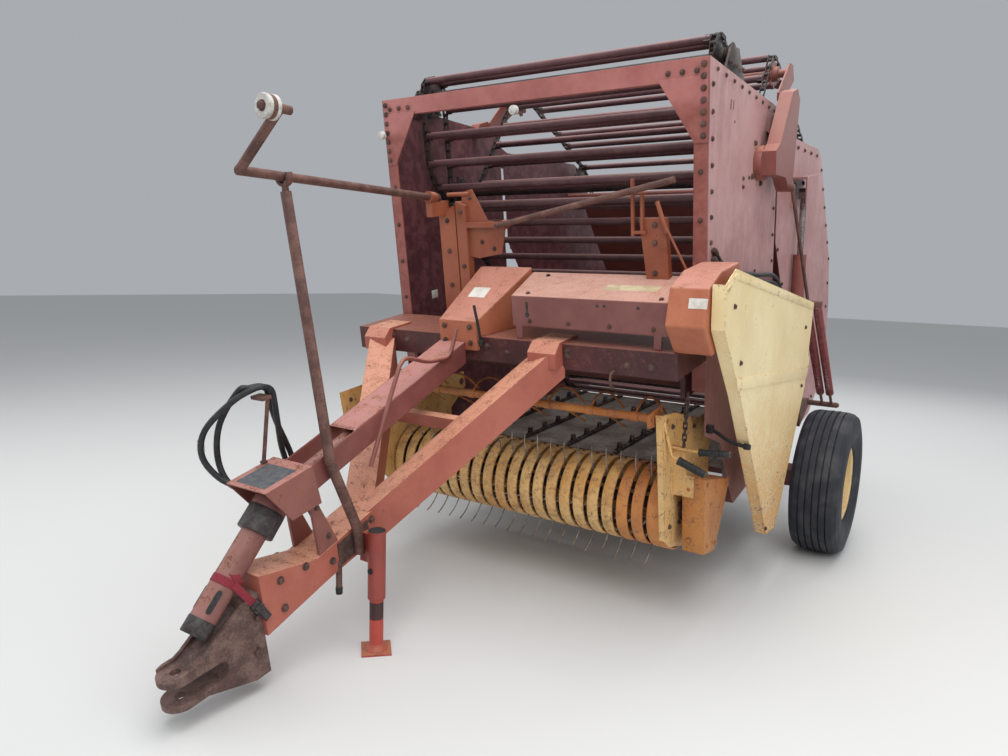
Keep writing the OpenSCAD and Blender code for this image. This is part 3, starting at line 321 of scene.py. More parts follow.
tube_red = old_paint("shaft_tube_paint", (112, 64, 60), (144, 94, 88), rust=0.7, top_fade_and_light=(160, 112, 106))
upright_red = old_paint("upright_paint", (128, 64, 42), (160, 90, 62), rust=0.5, top_fade_and_light=(176, 112, 92))
slat_paint = old_paint("slat_paint", (68, 38, 42), (100, 68, 72), rust=0.4, edge=0.0, bare=(52, 44, 46),
    coarse=1.6, top_fade_and_light=(140, 108, 112))
cream = old_paint("cream_paint", (212, 182, 122), (236, 212, 158), rust=0.42, top_rust=0.03, edge=0.01,
    bare=(158, 108, 66), dirt=0.1, coarse=0.8)
shield_paint = old_paint("side_shield_paint", (232, 206, 150), (248, 230, 184), rust=0.32, edge=0.014,
    bare=(160, 96, 52), dirt=0.08, coarse=0.7, foot=(0.25, 1.0), low=(0.15, 1.15, (214, 158, 94), 0.75))
yellow = old_paint("pickup_yellow_paint", (204, 150, 80), (228, 192, 132), rust=0.68, top_rust=0.04,
    edge=0.007, bare=(122, 78, 52), dirt=0.2)
band_paint = old_paint("band_paint", (206, 148, 74), (234, 198, 134), rust=0.8, top_rust=0.0, edge=0.009,
    bare=(112, 70, 46), dirt=0.5, coarse=2.2)
drum_paint = old_paint("drum_end_paint", (184, 106, 46), (210, 142, 76), rust=0.72, top_rust=0.03,
    bare=(104, 64, 46), dirt=0.25, coarse=1.3)
cover_orange = old_paint("drive_cover_paint", (162, 92, 38), (194, 130, 64), rust=0.76, top_rust=0.04,
    bare=(92, 58, 42), coarse=1.2)
clevis_steel = rusted_steel("worn_clevis_steel", (80, 58, 52), (122, 96, 88))
dark_steel = rusted_steel("dark_wheel_steel", (40, 34, 36), (78, 64, 60), shine=0.3, rough=0.55)
chain_steel = rusted_steel("chain_steel", (34, 29, 31), (74, 60, 56), shine=0.3, rough=0.55)
brown_steel = rusted_steel("brown_rusted_steel", (82, 54, 48), (116, 82, 72))
bolt_steel = rusted_steel("bolt_steel", (66, 46, 42), (110, 84, 74), shine=0.2)
floor_steel = rusted_steel("floor_steel", (112, 104, 98), (158, 150, 142), shine=0.4, scale=0.5, rough=0.5)
bright_steel = rusted_steel("worn_bright_steel", (120, 112, 108), (176, 168, 162), shine=0.7, rough=0.42)
spring_red = old_paint("spring_paint", (128, 50, 52), (158, 84, 84), rust=0.26, edge=0.0, gloss=0.4)
hose_black = plain("hose_rubber", (26, 27, 30), (48, 48, 50), 0.5, 40)
# Black rubber, also used as painted shade in the front tube's slot holes.
black_rubber_and_hole_shade = plain("black_rubber_and_hole_shade", (20, 20, 22), (44, 43, 44), 0.62, 90)
# Worn black paint, also used as painted shade in slits and holes.
black_paint_and_hole_shade = plain("worn_black_paint_and_hole_shade", (34, 32, 34), (72, 62, 60), 0.5, 70)
white_roller = plain("white_roller", (206, 204, 198), (172, 164, 156), 0.45, 50)
label_white = plain("blank_label", (222, 218, 208), (196, 190, 178), 0.4, 30)
label_yellow = plain("blank_worn_label", (206, 192, 154), (176, 156, 126), 0.5, 26)
label_dark = plain("blank_dark_plate", (70, 76, 84), (104, 100, 98), 0.45, 60)
strap_red = plain("strap_webbing", (112, 24, 36), (150, 48, 60), 0.8, 500, bump=0.6)


def tyre_finish():
    f = Finish("tyre_rubber")
    dust = f.noise(12, 5)
    fine = f.noise(180, 4)
    colour = f.mix(dust.between(0.42, 0.72) * 0.8, (34, 36, 44), (66, 66, 70))
    return f.wear(colour, 0.72 + (fine - 0.5) * 0.2, fine, strength=0.25, distance=0.001)


tyre_black = tyre_finish()

NODE_FINISH = (
    (sheet_pink, "side_sheet_left side_sheet_right"),
    (beam_red, "front_frame"),
    (shadowed_beam_red, "cross_beam"),
    (maroon, "axle_frame"),
    (floor_steel, "floor"),
    (dark_steel, "floor_chains apron_sprockets tailgate_rollers pickup_reel"),
    (tongue_red, "tongue"),
    (clevis_steel, "hitch_clevis"),
    (hood_red, "shaft_hood"),
    (shield_red, "shaft_shield"),
    (tube_red, "front_shaft"),
    (orange, "gear_cover end_guard"),
    (cover_red, "driveline_cover"),
    (slat_paint, "apron_front apron_rear"),
    (red, "take_up_arms tailgate_frame cylinder_left cylinder_right"),
    (spring_red, "tension_springs"),
    (upright_red, "twine_stands"),
    (brown_steel, "twine_tube crank_post crank hose_holder"),
    (hose_black, "tongue_hoses side_hoses"),
    (jack_red, "jack_tube"),
    (leg_red, "jack_leg"),
    (shield_paint, "left_shield"),
    (gate_pink, "tailgate_sheets"),
    (bright_steel, "cylinder_rod_left cylinder_rod_right"),
    (yellow, "pickup_frame"),
    (band_paint, "pickup_bands"),
    (cover_orange, "wind_guard"),
    (tyre_black, "tyre_left tyre_right"),
    (cream, "rim_left rim_right"),
)
ROUNDED = (
    (0.001, "tailgate_sheets"),
    (0.002, "front_frame twine_stands pickup_frame jack_leg crank_post hose_holder"),
    (0.003, "cross_beam left_shield axle_frame take_up_arms"),
    (0.004, "tongue shaft_hood shaft_shield hitch_clevis"),
    (0.006, "gear_cover driveline_cover end_guard"),
)
for finish, names in NODE_FINISH:
    for name in names.split():
        nodes[name].data.materials.clear()
        nodes[name].data.materials.append(finish)
for width, names in ROUNDED:
    for name in names.split():
        nodes[name].modifiers.new("weld", "WELD").merge_threshold = 0.00005
        bevel = nodes[name].modifiers.new("soft_edges", "BEVEL")
        bevel.width = width
        bevel.segments = 2
        bevel.limit_method = "ANGLE"
        bevel.angle_limit = radians(40)


# Shapes
def box(bm, lo, hi, soft=0.0):
    """A block between two corners, its edges rounded by soft."""
    verts = bmesh.ops.create_cube(bm, size=1)["verts"]
    lo, hi = Vector(lo), Vector(hi)
    bmesh.ops.scale(bm, vec=hi - lo, verts=verts)
    bmesh.ops.translate(bm, vec=(lo + hi) / 2, verts=verts)
    if soft:
        soften(bm, verts, soft)
    return verts


def soften(bm, verts, width, segments=2):
    edges = {edge for vert in verts for edge in vert.link_edges}
    bmesh.ops.bevel(bm, geom=list(edges), offset=width, affect="EDGES", segments=segments, profile=0.5,
        material=-1)


def along(a, b):
    """The place of a, with Z towards b."""
    a, b = Vector(a), Vector(b)
    return Matrix.Translation(a) @ (b - a).to_track_quat("Z", "Y").to_matrix().to_4x4()


def rod(bm, a, b, r, end=None, sides=20):
    """A round bar from a to b, tapering to the radius end."""
    length = (Vector(b) - Vector(a)).length
    bmesh.ops.create_cone(bm, cap_ends=True, segments=sides, radius1=r, radius2=r if end is None else end,
        depth=length, matrix=along(a, b) @ Matrix.Translation((0, 0, length / 2)))


def turned(bm, a, b, profile, steps=28):
    """A turned shape about the line from a to b, from (radius, distance along) points."""
    shape = bmesh.new()
    verts = [shape.verts.new((r, 0, h)) for r, h in profile]
    for pair in zip(verts, verts[1:]):
        shape.edges.new(pair)
    bmesh.ops.spin(shape, geom=shape.verts[:] + shape.edges[:], axis=(0, 0, 1), cent=(0, 0, 0), angle=tau,
        steps=steps, use_merge=True, use_duplicate=False)
    bmesh.ops.remove_doubles(shape, verts=shape.verts[:], dist=1e-5)
    bmesh.ops.recalc_face_normals(shape, faces=shape.faces[:])
    add(bm, shape, along(a, b))


def add(bm, shape, place):
    shape.transform(place)
    mesh = bpy.data.meshes.new("shape")
    shape.to_mesh(mesh)
    shape.free()
    bm.from_mesh(mesh)
    bpy.data.meshes.remove(mesh)


def plate(bm, outline, lo, hi, across="x", soft=0.0):
    """A plate cut to an outline, between two places along the axis that it lies across."""
    shape = bmesh.new()
    spot = {"x": lambda u, v: (lo, u, v), "y": lambda u, v: (u, lo, v), "z": lambda u, v: (u, v, lo)}[across]
    face = shape.faces.new([shape.verts.new(spot(u, v)) for u, v in outline])
    out = bmesh.ops.extrude_face_region(shape, geom=[face])["geom"]
    step = Vector([hi - lo if axis == across else 0 for axis in "xyz"])
    bmesh.ops.translate(shape, vec=step, verts=[g for g in out if isinstance(g, bmesh.types.BMVert)])
    bmesh.ops.recalc_face_normals(shape, faces=shape.faces[:])
    if soft:
        soften(shape, shape.verts[:], soft)
    add(bm, shape, Matrix())


def eased(points, steps):
    """Points on the smooth line through these points."""
    points = [Vector(p) for p in points]
    line = []
    for i in range(len(points) - 1):
        a, b = points[max(i - 1, 0)], points[i]
        c, d = points[i + 1], points[min(i + 2, len(points) - 1)]
        for j in range(steps):
            t = j / steps
            line.append(0.5 * (2 * b + (c - a) * t + (2 * a - 5 * b + 4 * c - d) * t * t
                               + (3 * b - a - 3 * c + d) * t ** 3))
    return line + [points[-1]]


def wire(bm, points, r, steps=6, ring=3, closed=False):
    """A bent round wire, hose or bar through these points."""
    line = eased(points, steps) if steps > 1 else [Vector(p) for p in points]
    curve = bpy.data.curves.new("wire", "CURVE")
    curve.dimensions = "3D"
    curve.bevel_depth = r
    curve.bevel_resolution = ring
    curve.use_fill_caps = not closed
    spline = curve.splines.new("POLY")
    spline.points.add(len(line) - 1)
    for point, at in zip(spline.points, line):
        point.co = (*at, 1)
    spline.use_cyclic_u = closed
    holder = bpy.data.objects.new("wire", curve)
    mesh = bpy.data.meshes.new_from_object(holder)
    bm.from_mesh(mesh)
    bpy.data.objects.remove(holder)
    bpy.data.curves.remove(curve)
    bpy.data.meshes.remove(mesh)


def pattern(shape):
    """A finished shape kept as a mesh, to be repeated."""
    mesh = bpy.data.meshes.new("pattern")
    shape.to_mesh(mesh)
    shape.free()
    return mesh


def repeat(bm, mesh, place):
    copy = mesh.copy()
    copy.transform(place)
    bm.from_mesh(copy)
    bpy.data.meshes.remove(copy)


def bolt_pattern():
    """A hexagon head on a washer, one unit in radius, looking along Z."""
    shape = bmesh.new()
    for sides, base, top, depth, z in ((14, 1.35, 1.3, 0.3, 0.05), (6, 1, 1, 0.7, 0.5), (6, 1, 0.72, 0.14,
            0.92)):
        bmesh.ops.create_cone(shape, cap_ends=True, segments=sides, radius1=base, radius2=top, depth=depth,
            matrix=Matrix.Translation((0, 0, z)))
    return pattern(shape)


BOLT = bolt_pattern()


def bolts(bm, places, facing, r=0.009):
    facing = Vector(facing)
    for at in places:
        at = Vector(at)
        repeat(bm, BOLT, along(at, at + facing) @ Matrix.Scale(r, 4))


def bolts_x(bm, x, spots, r=0.009, out=None):
    """Bolts at (y, z) spots on a face across X, on its outer side."""
    bolts(bm, [(x, *spot) for spot in spots], (out or (1 if x > 0 else -1), 0, 0), r)


def bolts_y(bm, y, spots, r=0.009):
    """Bolts at (x, z) spots on a face that looks forward."""
    bolts(bm, [(u, y, v) for u, v in spots], (0, -1, 0), r)


def around(r, angles, centre=(0, 0)):
    return [(centre[0] + r * cos(t), centre[1] + r * sin(t)) for t in angles]


def put(x, y, z, tilt=0.0):
    """A place, tilted about X."""
    return Matrix.Translation((x, y, z)) @ Matrix.Rotation(tilt, 4, "X")


def line_of(a, b, count):
    a, b = Vector(a), Vector(b)
    return [a + (b - a) * i / (count - 1) for i in range(count)]


def piece(name, bm, finish, body="frame", stands_for=(), angle=38, placed=True):
    """Names a shape, sets it down with the machine and hangs it on its body."""
    if placed:
        bm.transform(SET_DOWN)
    mesh = bpy.data.meshes.new(name)
    bm.to_mesh(mesh)
    bm.free()
    mesh.materials.append(finish)
    mesh.polygons.foreach_set("use_smooth", [True] * len(mesh.polygons))
    mesh.set_sharp_from_angle(angle=radians(angle))
    obj = bpy.data.objects.new(name, mesh)
    bpy.context.scene.collection.objects.link(obj)
    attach(obj, body)
    if stands_for:
        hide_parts(*stands_for)
    return obj


# Apron: the same path as the CAD's, over the sprockets and round the tailgate
FRONT_SPROCKET = (-0.79, 2.45)
IDLER = (-0.62, 1.96)
SPROCKET_R = 0.085
CHAIN_X = 0.728
SLAT_HALF = 0.714
HINGE = (-0.06, 2.12)
APRON_CORNERS = [
    *((FRONT_SPROCKET[0] + dy, FRONT_SPROCKET[1] + SPROCKET_R, 0.08) for dy in (-SPROCKET_R, SPROCKET_R)),
    *((IDLER[0] + dy, IDLER[1] - SPROCKET_R, 0.08) for dy in (-SPROCKET_R, SPROCKET_R)),
    (0.008, 2.54, 0.08), (0.82, 2.03, 0.085), (1.235, 1.33, 0.4), (1.245, 0.86, 0.3),
    (0.98, 0.56, 0.2), (0.5, 0.545, 0.085), (-0.875, 2.06, 0.26),
]


def corner_round(i):
    """Centre, start and end of the rounding at corner i."""
    count = len(APRON_CORNERS)
    a, b, c = (Vector(APRON_CORNERS[k % count][:2]) for k in (i - 1, i, i + 1))
    r = APRON_CORNERS[i % count][2]
    u, w = (a - b).normalized(), (c - b).normalized()
    half = acos(u.dot(w)) / 2
    return b + (u + w).normalized() * r / sin(half), b + u * r / tan(half), b + w * r / tan(half), r


def apron_route():
    line = []
    for i in range(len(APRON_CORNERS)):
        middle, start, end, r = corner_round(i)
        first = atan2(*(start - middle).yx)
        turn = atan2(*(end - middle).yx) - first
        turn = (turn + pi) % tau - pi
        line += [middle + r * Vector((cos(first + turn * k / 8), sin(first + turn * k / 8)))
            for k in range(9)]
    return line


ROUTE = apron_route()
LEGS = [(ROUTE[(i + 1) % len(ROUTE)] - p).length for i, p in enumerate(ROUTE)]
ROUTE_LENGTH = sum(LEGS)
SLAT_COUNT = int(ROUTE_LENGTH / 0.132)
LINK = ROUTE_LENGTH / SLAT_COUNT / 3


def on_route(s):
    s %= ROUTE_LENGTH
    for i, leg in enumerate(LEGS):
        if s <= leg:
            return ROUTE[i].lerp(ROUTE[(i + 1) % len(ROUTE)], s / leg)
        s -= leg
    return ROUTE[0]


def gate_side(p, gap):
    """1 on the tailgate's part of the apron, -1 on the frame's, 0 at the cut between them."""
    angle = degrees(atan2(p.y - HINGE[1], p.x - HINGE[0]))
    reach = (p - Vector(HINGE)).length
    limit = 0.445 if angle > -75 else 1.000
    if angle >= 80 or angle <= -135:
        return -1
    return 1 if reach > limit + gap else -1 if reach < limit - gap else 0


def link_pattern(width):
    """One pitch of roller chain along Y: two side plates and the roller at its start."""
    shape = bmesh.new()
    ends = around(0.0085, map(radians, (90, 135, 180, 225, 270)))
    outline = ends + [(LINK - u, -v) for u, v in ends]
    for side in (-1, 1):
        plate(shape, outline, side * width - 0.00125, side * width + 0.00125)
    rod(shape, (-0.0065, 0, 0), (0.0065, 0, 0), 0.0082, sides=10)
    rod(shape, (-width - 0.002, 0, 0), (width + 0.002, 0, 0), 0.004, sides=6)
    return pattern(shape)


def apron():
    patterns = (link_pattern(0.0085), link_pattern(0.0112))
    chains, slats, ends = ({1: bmesh.new(), -1: bmesh.new()} for _ in range(3))
    for i in range(SLAT_COUNT * 3):
        a, b = on_route(i * LINK), on_route((i + 1) * LINK)
        side = gate_side((a + b) / 2, 0.0) or 1
        tilt = atan2(b.y - a.y, b.x - a.x)
        for x in (-CHAIN_X, CHAIN_X):
            repeat(chains[side], patterns[i % 2], put(x, a.x, a.y, tilt))
    for i in range(SLAT_COUNT):
        s = (i + 0.5) * ROUTE_LENGTH / SLAT_COUNT
        p = on_route(s)
        side = gate_side(p, 0.025)
        if not side:
            continue
        rod(slats[side], (-SLAT_HALF, p.x, p.y), (SLAT_HALF, p.x, p.y), 0.0168, sides=18)
        ahead = on_route(s + 0.02) - on_route(s - 0.02)
        tilt = atan2(ahead.y, ahead.x)
        for x in (-1, 1):
            lug = bmesh.new()
            box(lug, (0.69, -0.021, -0.01), (0.7175, 0.021, 0.01), 0.002)
            bolts(lug, [(0.7, 0, 0.0095)], (0, 0, 1), 0.007)
            add(ends[side], lug, put(0, p.x, p.y, tilt) @ Matrix.Rotation(0 if x > 0 else pi, 4, "Z"))
    parts = ((-1, "fixed", "frame", "apron_front"), (1, "gate", "tailgate", "apron_rear"))
    for kind, shapes, finish in (("chain", chains, chain_steel), ("lugs", ends, chain_steel),
            ("slats", slats, slat_paint)):
        for side, part, body, node in parts:
            piece(f"apron_{kind}_{part}", shapes[side], finish, body, [node] if kind == "slats" else ())


def toothed_wheel(bm, centre, r, x, teeth=12):
    """A chain wheel whose gaps lie under the rollers that it carries."""
    joints = [on_route(i * LINK) for i in range(SLAT_COUNT * 3)]
    near = min(joints, key=lambda p: abs((p - centre).length - r) + 0.02 * (p.y < centre.y))
    start = atan2(near.y - centre.y, near.x - centre.x)
    outline = []
    for k in range(teeth * 4):
        reach = (r - 0.009, r - 0.006, r + 0.007, r - 0.006)[k % 4]
        angle = start + tau * k / teeth / 4
        outline.append((centre.x + reach * cos(angle), centre.y + reach * sin(angle)))
    plate(bm, outline, x - 0.0045, x + 0.0045)
    turned(bm, (x - 0.028, *centre), (x + 0.028, *centre), [(0, 0), (0.034, 0), (0.034, 0.017),
        (0.052, 0.022), (0.052, 0.034), (0.034, 0.039), (0.034, 0.056), (0, 0.056)])


def sprockets():
    fixed, gate = bmesh.new(), bmesh.new()
    front, idler = Vector(FRONT_SPROCKET), Vector(IDLER)
    top, low = corner_round(5)[0], corner_round(9)[0]
    for bm, centre in ((fixed, front), (fixed, idler), (gate, top), (gate, low)):
        for x in (-CHAIN_X, CHAIN_X):
            toothed_wheel(bm, centre, SPROCKET_R, x)
        rod(bm, (-SHEET_INSIDE, *centre), (SHEET_INSIDE, *centre), 0.019, sides=24)
    for side in (-1, 1):
        lo, hi = sorted((side * 0.7847, side * SHEET_INSIDE))
        plate(fixed, [(-0.9, 2.399), (-0.84, 2.48), (-0.74, 2.48), (-0.66, 2.361), (-0.76, 2.35),
            (-0.9, 2.35)], lo, hi, soft=0.001)
        plate(fixed, [(-0.7, 1.99), (-0.62, 2.02), (-0.56, 1.99), (-0.56, 1.92), (-0.7, 1.92)], lo, hi,
            soft=0.001)
        for centre in (front, idler):
            turned(fixed, (side * 0.765, *centre), (side * 0.785, *centre), [(0.019, 0), (0.036, 0),
                (0.044, 0.012), (0.05, 0.02), (0.019, 0.02)])
    piece("apron_wheels_fixed", fixed, dark_steel, "frame", ["apron_sprockets"])
    piece("apron_wheels_gate", gate, dark_steel, "tailgate", ["tailgate_rollers"])


def springs():
    """Two open coil springs on each side, with their rods, yoke and anchor."""
    top, low, anchor = Vector((0.07, 1.3)), Vector((0.56, 0.69)), Vector((0.64, 0.59))
    coils, metal = bmesh.new(), bmesh.new()
    turns, per_turn = 54, 12
    for side in (-1, 1):
        for x in (0.929, 0.981):
            start, end = Vector((side * x, *top)), Vector((side * x, *low))
            place = along(start, end)
            length = (end - start).length
            steps = range(turns * per_turn + 1)
            ring = around(0.019, [tau * k / per_turn for k in steps])
            line = [place @ Vector((*ring[k], length * k / turns / per_turn)) for k in steps]
            wire(coils, line, 0.0038, steps=1, ring=1)
            rod(metal, (side * x, *low), (side * x, *anchor), 0.008)
            turned(metal, (side * x, *low), (side * x, *anchor), [(0, -0.012), (0.022, -0.012),
                (0.022, 0.006), (0.01, 0.014), (0, 0.014)], 20)
        lo, hi = sorted((side * 0.905, side * 1.005))
        box(metal, (lo, 0.048, 1.296), (hi, 0.084, 1.324), 0.004)
        rod(metal, (side * 0.935, 0.07, 1.32), (side * 0.904, -0.245, 1.912), 0.008)
        rod(metal, (side * 0.8943, -0.245, 1.912), (side * 0.916, -0.245, 1.912), 0.014)
        rod(metal, (side * 0.85, *anchor), (side * 1.01, *anchor), 0.016)
        lo, hi = sorted((side * 0.806, side * 0.85))
        plate(metal, [(0.42, 0.6), (0.47, 0.66), (0.66, 0.61), (0.65, 0.565), (0.43, 0.5)], lo, hi,
            soft=0.002)
        lo, hi = sorted((side * SHEET_FACE, side * 0.806))
        box(metal, (lo, 0.43, 0.51), (hi, 0.505, 0.59))
        bolts_x(metal, side * 1.01, [anchor], 0.013)
    piece("spring_coils", coils, spring_red, "frame", ["tension_springs"], angle=60)
    piece("spring_rods", metal, brown_steel)


apron()
sprockets()
springs()


# Pickup: bands round the reel, tines in the gaps, the reel's shaft and bars
REEL = Vector((-1.19, 0.656))
BAND_R = 0.1745
BAR_OVER, BAR_UNDER = Vector((-0.898, 0.69)), Vector((-0.96, 0.47))
PICKUP_HALF = 0.73
BAND_N = 20
BAND_PITCH = 0.06835
START, STOP = radians(64), radians(263)


def band_pattern(width):
    """A crowned strip round the reel, with rolled lips, running straight to both bars."""
    half = width / 2
    shape = bmesh.new()
    lip = [(-half, -0.0095), (-half + 0.0008, -0.0045), (-half + 0.004, -0.0015), (-half + 0.01, -0.0004),
        (0, 0), (half - 0.01, -0.0004), (half - 0.004, -0.0015), (half - 0.0008, -0.0045), (half, -0.0095)]

    def on_ring(x, drop, angle):
        r = BAND_R + drop
        return (x, REEL.x + r * cos(angle), REEL.y + r * sin(angle))

    verts = [shape.verts.new(on_ring(x, drop, START)) for x, drop in lip]
    edges = [shape.edges.new(pair) for pair in zip(verts, verts[1:])]
    out = bmesh.ops.spin(shape, geom=verts + edges, axis=(1, 0, 0), cent=(0, *REEL), angle=STOP - START,
        steps=34, use_duplicate=False)["geom_last"]
    last = [g for g in out if isinstance(g, bmesh.types.BMEdge)]
    for strip, angle, bar, side in ((edges, START, BAR_OVER, 1), (last, STOP, BAR_UNDER, -1)):
        leave = REEL + (BAND_R - 0.002) * Vector((cos(angle), sin(angle)))
        run = (bar - leave) + side * Vector((0.006, 0.0165))
        grown = bmesh.ops.extrude_edge_only(shape, edges=strip)["geom"]
        moved = [g for g in grown if isinstance(g, bmesh.types.BMVert)]
        bmesh.ops.translate(shape, vec=(0, run.x, run.y), verts=moved)
    bmesh.ops.recalc_face_normals(shape, faces=shape.faces[:])
    return pattern(shape)


def pickup_bands():
    bm, drum = bmesh.new(), bmesh.new()
    narrow = band_pattern(0.052)
    middles = [-PICKUP_HALF + (i + 0.5) * BAND_PITCH for i in range(BAND_N)]
    for i, x in enumerate(middles):
        repeat(drum if i > BAND_N - 3 else bm, narrow, put(x, 0, 0))
    repeat(drum, band_pattern(0.0845), put(0.6875, 0, 0))
    for name, shape, finish, node in (("pickup_band_rows", bm, band_paint, ["pickup_bands"]),
            ("pickup_drum_end", drum, drum_paint, [])):
        obj = piece(name, shape, finish, "pickup", node, angle=50)
        thick = obj.modifiers.new("sheet", "SOLIDIFY")
        thick.thickness = 0.0025
        thick.offset = -1
    heads = bmesh.new()
    out = Vector((0, cos(radians(80)), sin(radians(80))))
    spot = Vector((0, *REEL)) + 0.175 * out
    bolts(heads, [(x, spot.y, spot.z) for x in middles], out, 0.006)
    piece("pickup_band_bolts", heads, bolt_steel, "pickup")


def reel():
    bm, tines = bmesh.new(), bmesh.new()
    rod(bm, (-0.734, *REEL), (0.734, *REEL), 0.025, sides=28)
    for side in (-1, 1):
        turned(bm, (side * 0.71, *REEL), (side * 0.718, *REEL), [(0, 0), (0.125, 0), (0.125, 0.004),
            (0.118, 0.006), (0.06, 0.006), (0.05, 0.008), (0, 0.008)])
    single = bmesh.new()
    path = [(0.098, 1.5), (0.112, 0.6), (0.15, -0.8), (0.195, -3.4), (0.235, -7.2), (0.27, -11.6)]
    wire(single, [(0, r * cos(radians(a)), r * sin(radians(a))) for r, a in path], 0.003, steps=3, ring=1)
    coil = [(0.0045 * (k / 8) - 0.0055, 0.112 + 0.0125 * cos(tau * k / 8), 0.0125 * sin(tau * k / 8))
        for k in range(25)]
    wire(single, coil, 0.0024, steps=1, ring=1)
    tine = pattern(single)
    for k in range(3):
        turn = tau * k / 3
        bar = around(0.112, [turn], REEL)[0]
        rod(bm, (-0.716, *bar), (0.716, *bar), 0.01, sides=14)
        for i in range(1, BAND_N + 1):
            repeat(tines, tine, put(-PICKUP_HALF + i * BAND_PITCH, *REEL, turn))
    piece("reel_shaft", bm, dark_steel, "reel", ["pickup_reel"])
    piece("reel_tines", tines, tine_steel, "reel", angle=60)


def wind_guard():
    bm = bmesh.new()
    pipe = (-1.35, 1.1)
    rod(bm, (-0.728, *pipe), (0.728, *pipe), 0.017, sides=24)
    rod(bm, (-0.742, *pipe), (0.736, *pipe), 0.01, sides=16)
    turned(bm, (-0.782, *pipe), (-0.737, *pipe), [(0, 0), (0.021, 0), (0.023, 0.002), (0.023, 0.043),
        (0.021, 0.045), (0, 0.045)])
    plate(bm, [(-1.319, 1.158), (-1.332, 1.068), (-1.462, 1.1), (-1.471, 1.149)], 0.698, 0.703, soft=0.001)
    bolts_x(bm, 0.703, [(-1.43, 1.126), (-1.395, 1.12), (-1.352, 1.14)], 0.006)
    for i in range(7):
        x = -0.6 + 0.2 * i
        wire(bm, [(x, -1.344, 1.112), (x, -1.285, 1.142), (x, -1.2, 1.136), (x, -1.11, 1.085),
            (x, -1.032, 1.013)], 0.005, steps=5)
        rod(bm, (x + 0.06, *pipe), (x + 0.06, -1.14, 0.965), 0.004, sides=10)
        turned(bm, (x - 0.018, *pipe), (x + 0.018, *pipe), [(0.0168, 0), (0.0195, 0), (0.0195, 0.036),
            (0.0168, 0.036)], 20)
    piece("wind_guard_rods", bm, cover_orange, "wind_guard", ["wind_guard"])


def pickup_trim():
    """Bolts, the drive cover's face and black sleeves on the pickup's plates."""
    bm = bmesh.new()
    near = [(-1.335, 0.64), (-1.3, 1.06), (-1.06, 0.985), (-0.8, 0.95), (-0.9, 0.47), (-1.1, 0.475),
        (-1.24, 0.9), (-1.18, 0.94)]
    bolts_x(bm, PLATE_FACE, near)
    bolts_x(bm, PLATE_FACE, around(0.058, (0.8, 2.37, 3.94, 5.5), REEL), 0.008)
    bolts_x(bm, -PLATE_FACE, near + [(-1.56, 1.06), (-1.5, 0.86)])
    bolts_x(bm, -0.7298, [(-1.6, 1.08), (-1.5, 0.92), (-1.44, 0.8)], 0.008, out=1)
    for side in (1, -1):
        turned(bm, (side * PLATE_FACE, *REEL), (side * 0.765, *REEL), [(0, 0), (0.046, 0), (0.046, 0.006),
            (0.036, 0.01), (0.034, 0.028), (0, 0.028)])
    piece("pickup_bolts", bm, bolt_steel, "pickup")
    cover = bmesh.new()
    plate(cover, [(-1.2868, 0.8522), (-0.9617, 0.7306), (-1.149, 0.4742), (-1.2868, 0.5188)], 0.7705, 0.864,
        soft=0.004)
    bolts_x(cover, 0.864, [(-1.255, 0.818), (-1.02, 0.728), (-1.152, 0.512), (-1.255, 0.548)], 0.008)
    bolts_y(cover, -1.2868, [(0.8, 0.8), (0.8, 0.57)], 0.009)
    piece("drive_cover_face", cover, cover_orange, "pickup")
    grips = bmesh.new()
    turned(grips, (0.778, -1.35, 0.9427), (0.89, -1.35, 0.8992), grip_profile(0.12, 0.015), 20)
    turned(grips, (0.845, -1.3, 0.9689), (0.968, -1.3, 0.9802), grip_profile(0.1235, 0.013), 20)
    piece("control_grips", grips, black_rubber_and_hole_shade, "pickup")


def grip_profile(length, r):
    """A moulded sleeve with a flared end and shallow ribs."""
    ribs = []
    for i in range(7):
        at = 0.012 + (length - 0.03) * i / 7
        ribs += [(r, at), (r + 0.001, at + 0.002), (r + 0.001, at + 0.007), (r, at + 0.009)]
    return [(0, 0), (r + 0.001, 0), (r + 0.0025, 0.003), (r + 0.0025, 0.008)] + ribs + [(r, length - 0.004),
        (r - 0.003, length), (0, length)]


tine_steel = rusted_steel("tine_steel", (96, 88, 86), (170, 162, 156), shine=0.6, rough=0.4)
pickup_bands()
reel()
wind_guard()
pickup_trim()


# Floor chains: link plates and upright lugs, between the cross bars
def floor_chains():
    front, rear = Vector((-0.845, 0.697)), Vector((0.36, 0.575))
    run = (rear - front).length
    tilt = atan2(rear.y - front.y, rear.x - front.x)
    link = bmesh.new()
    pitch = 0.05
    outline = [(0.001, 0.003), (0.006, 0.0004), (pitch - 0.008, 0.0004), (pitch - 0.003, 0.003),
        (pitch - 0.003, 0.012), (pitch - 0.008, 0.0155), (0.006, 0.0155), (0.001, 0.012)]
    for x in (-0.0095, 0.0095):
        plate(link, outline, x - 0.0015, x + 0.0015)
    rod(link, (-0.011, 0.006, 0.008), (0.011, 0.006, 0.008), 0.0062, sides=10)
    links = pattern(link)
    lug = bmesh.new()
    for x in (-0.0082, 0.0082):
        plate(lug, [(0.000, 0.0155), (0.01, 0.047), (0.024, 0.047), (0.03, 0.0155)], x - 0.0022, x + 0.0022,
            soft=0.0006)
    box(lug, (-0.008, 0.01, 0.036), (0.008, 0.024, 0.047), 0.001)
    lugs = pattern(lug)
    bm = bmesh.new()
    for i in range(5):
        base = put(-0.52 + 0.26 * i, *front, tilt)
        for k in range(int((run - 0.008) / pitch)):
            repeat(bm, links, base @ put(0, 0.004 + pitch * k, 0))
        for k in range(int((run - 0.06) / 0.15)):
            repeat(bm, lugs, base @ put(0, 0.04 + 0.15 * k, 0))
    piece("floor_chain_links", bm, floor_chain_steel, "frame", ["floor_chains"])


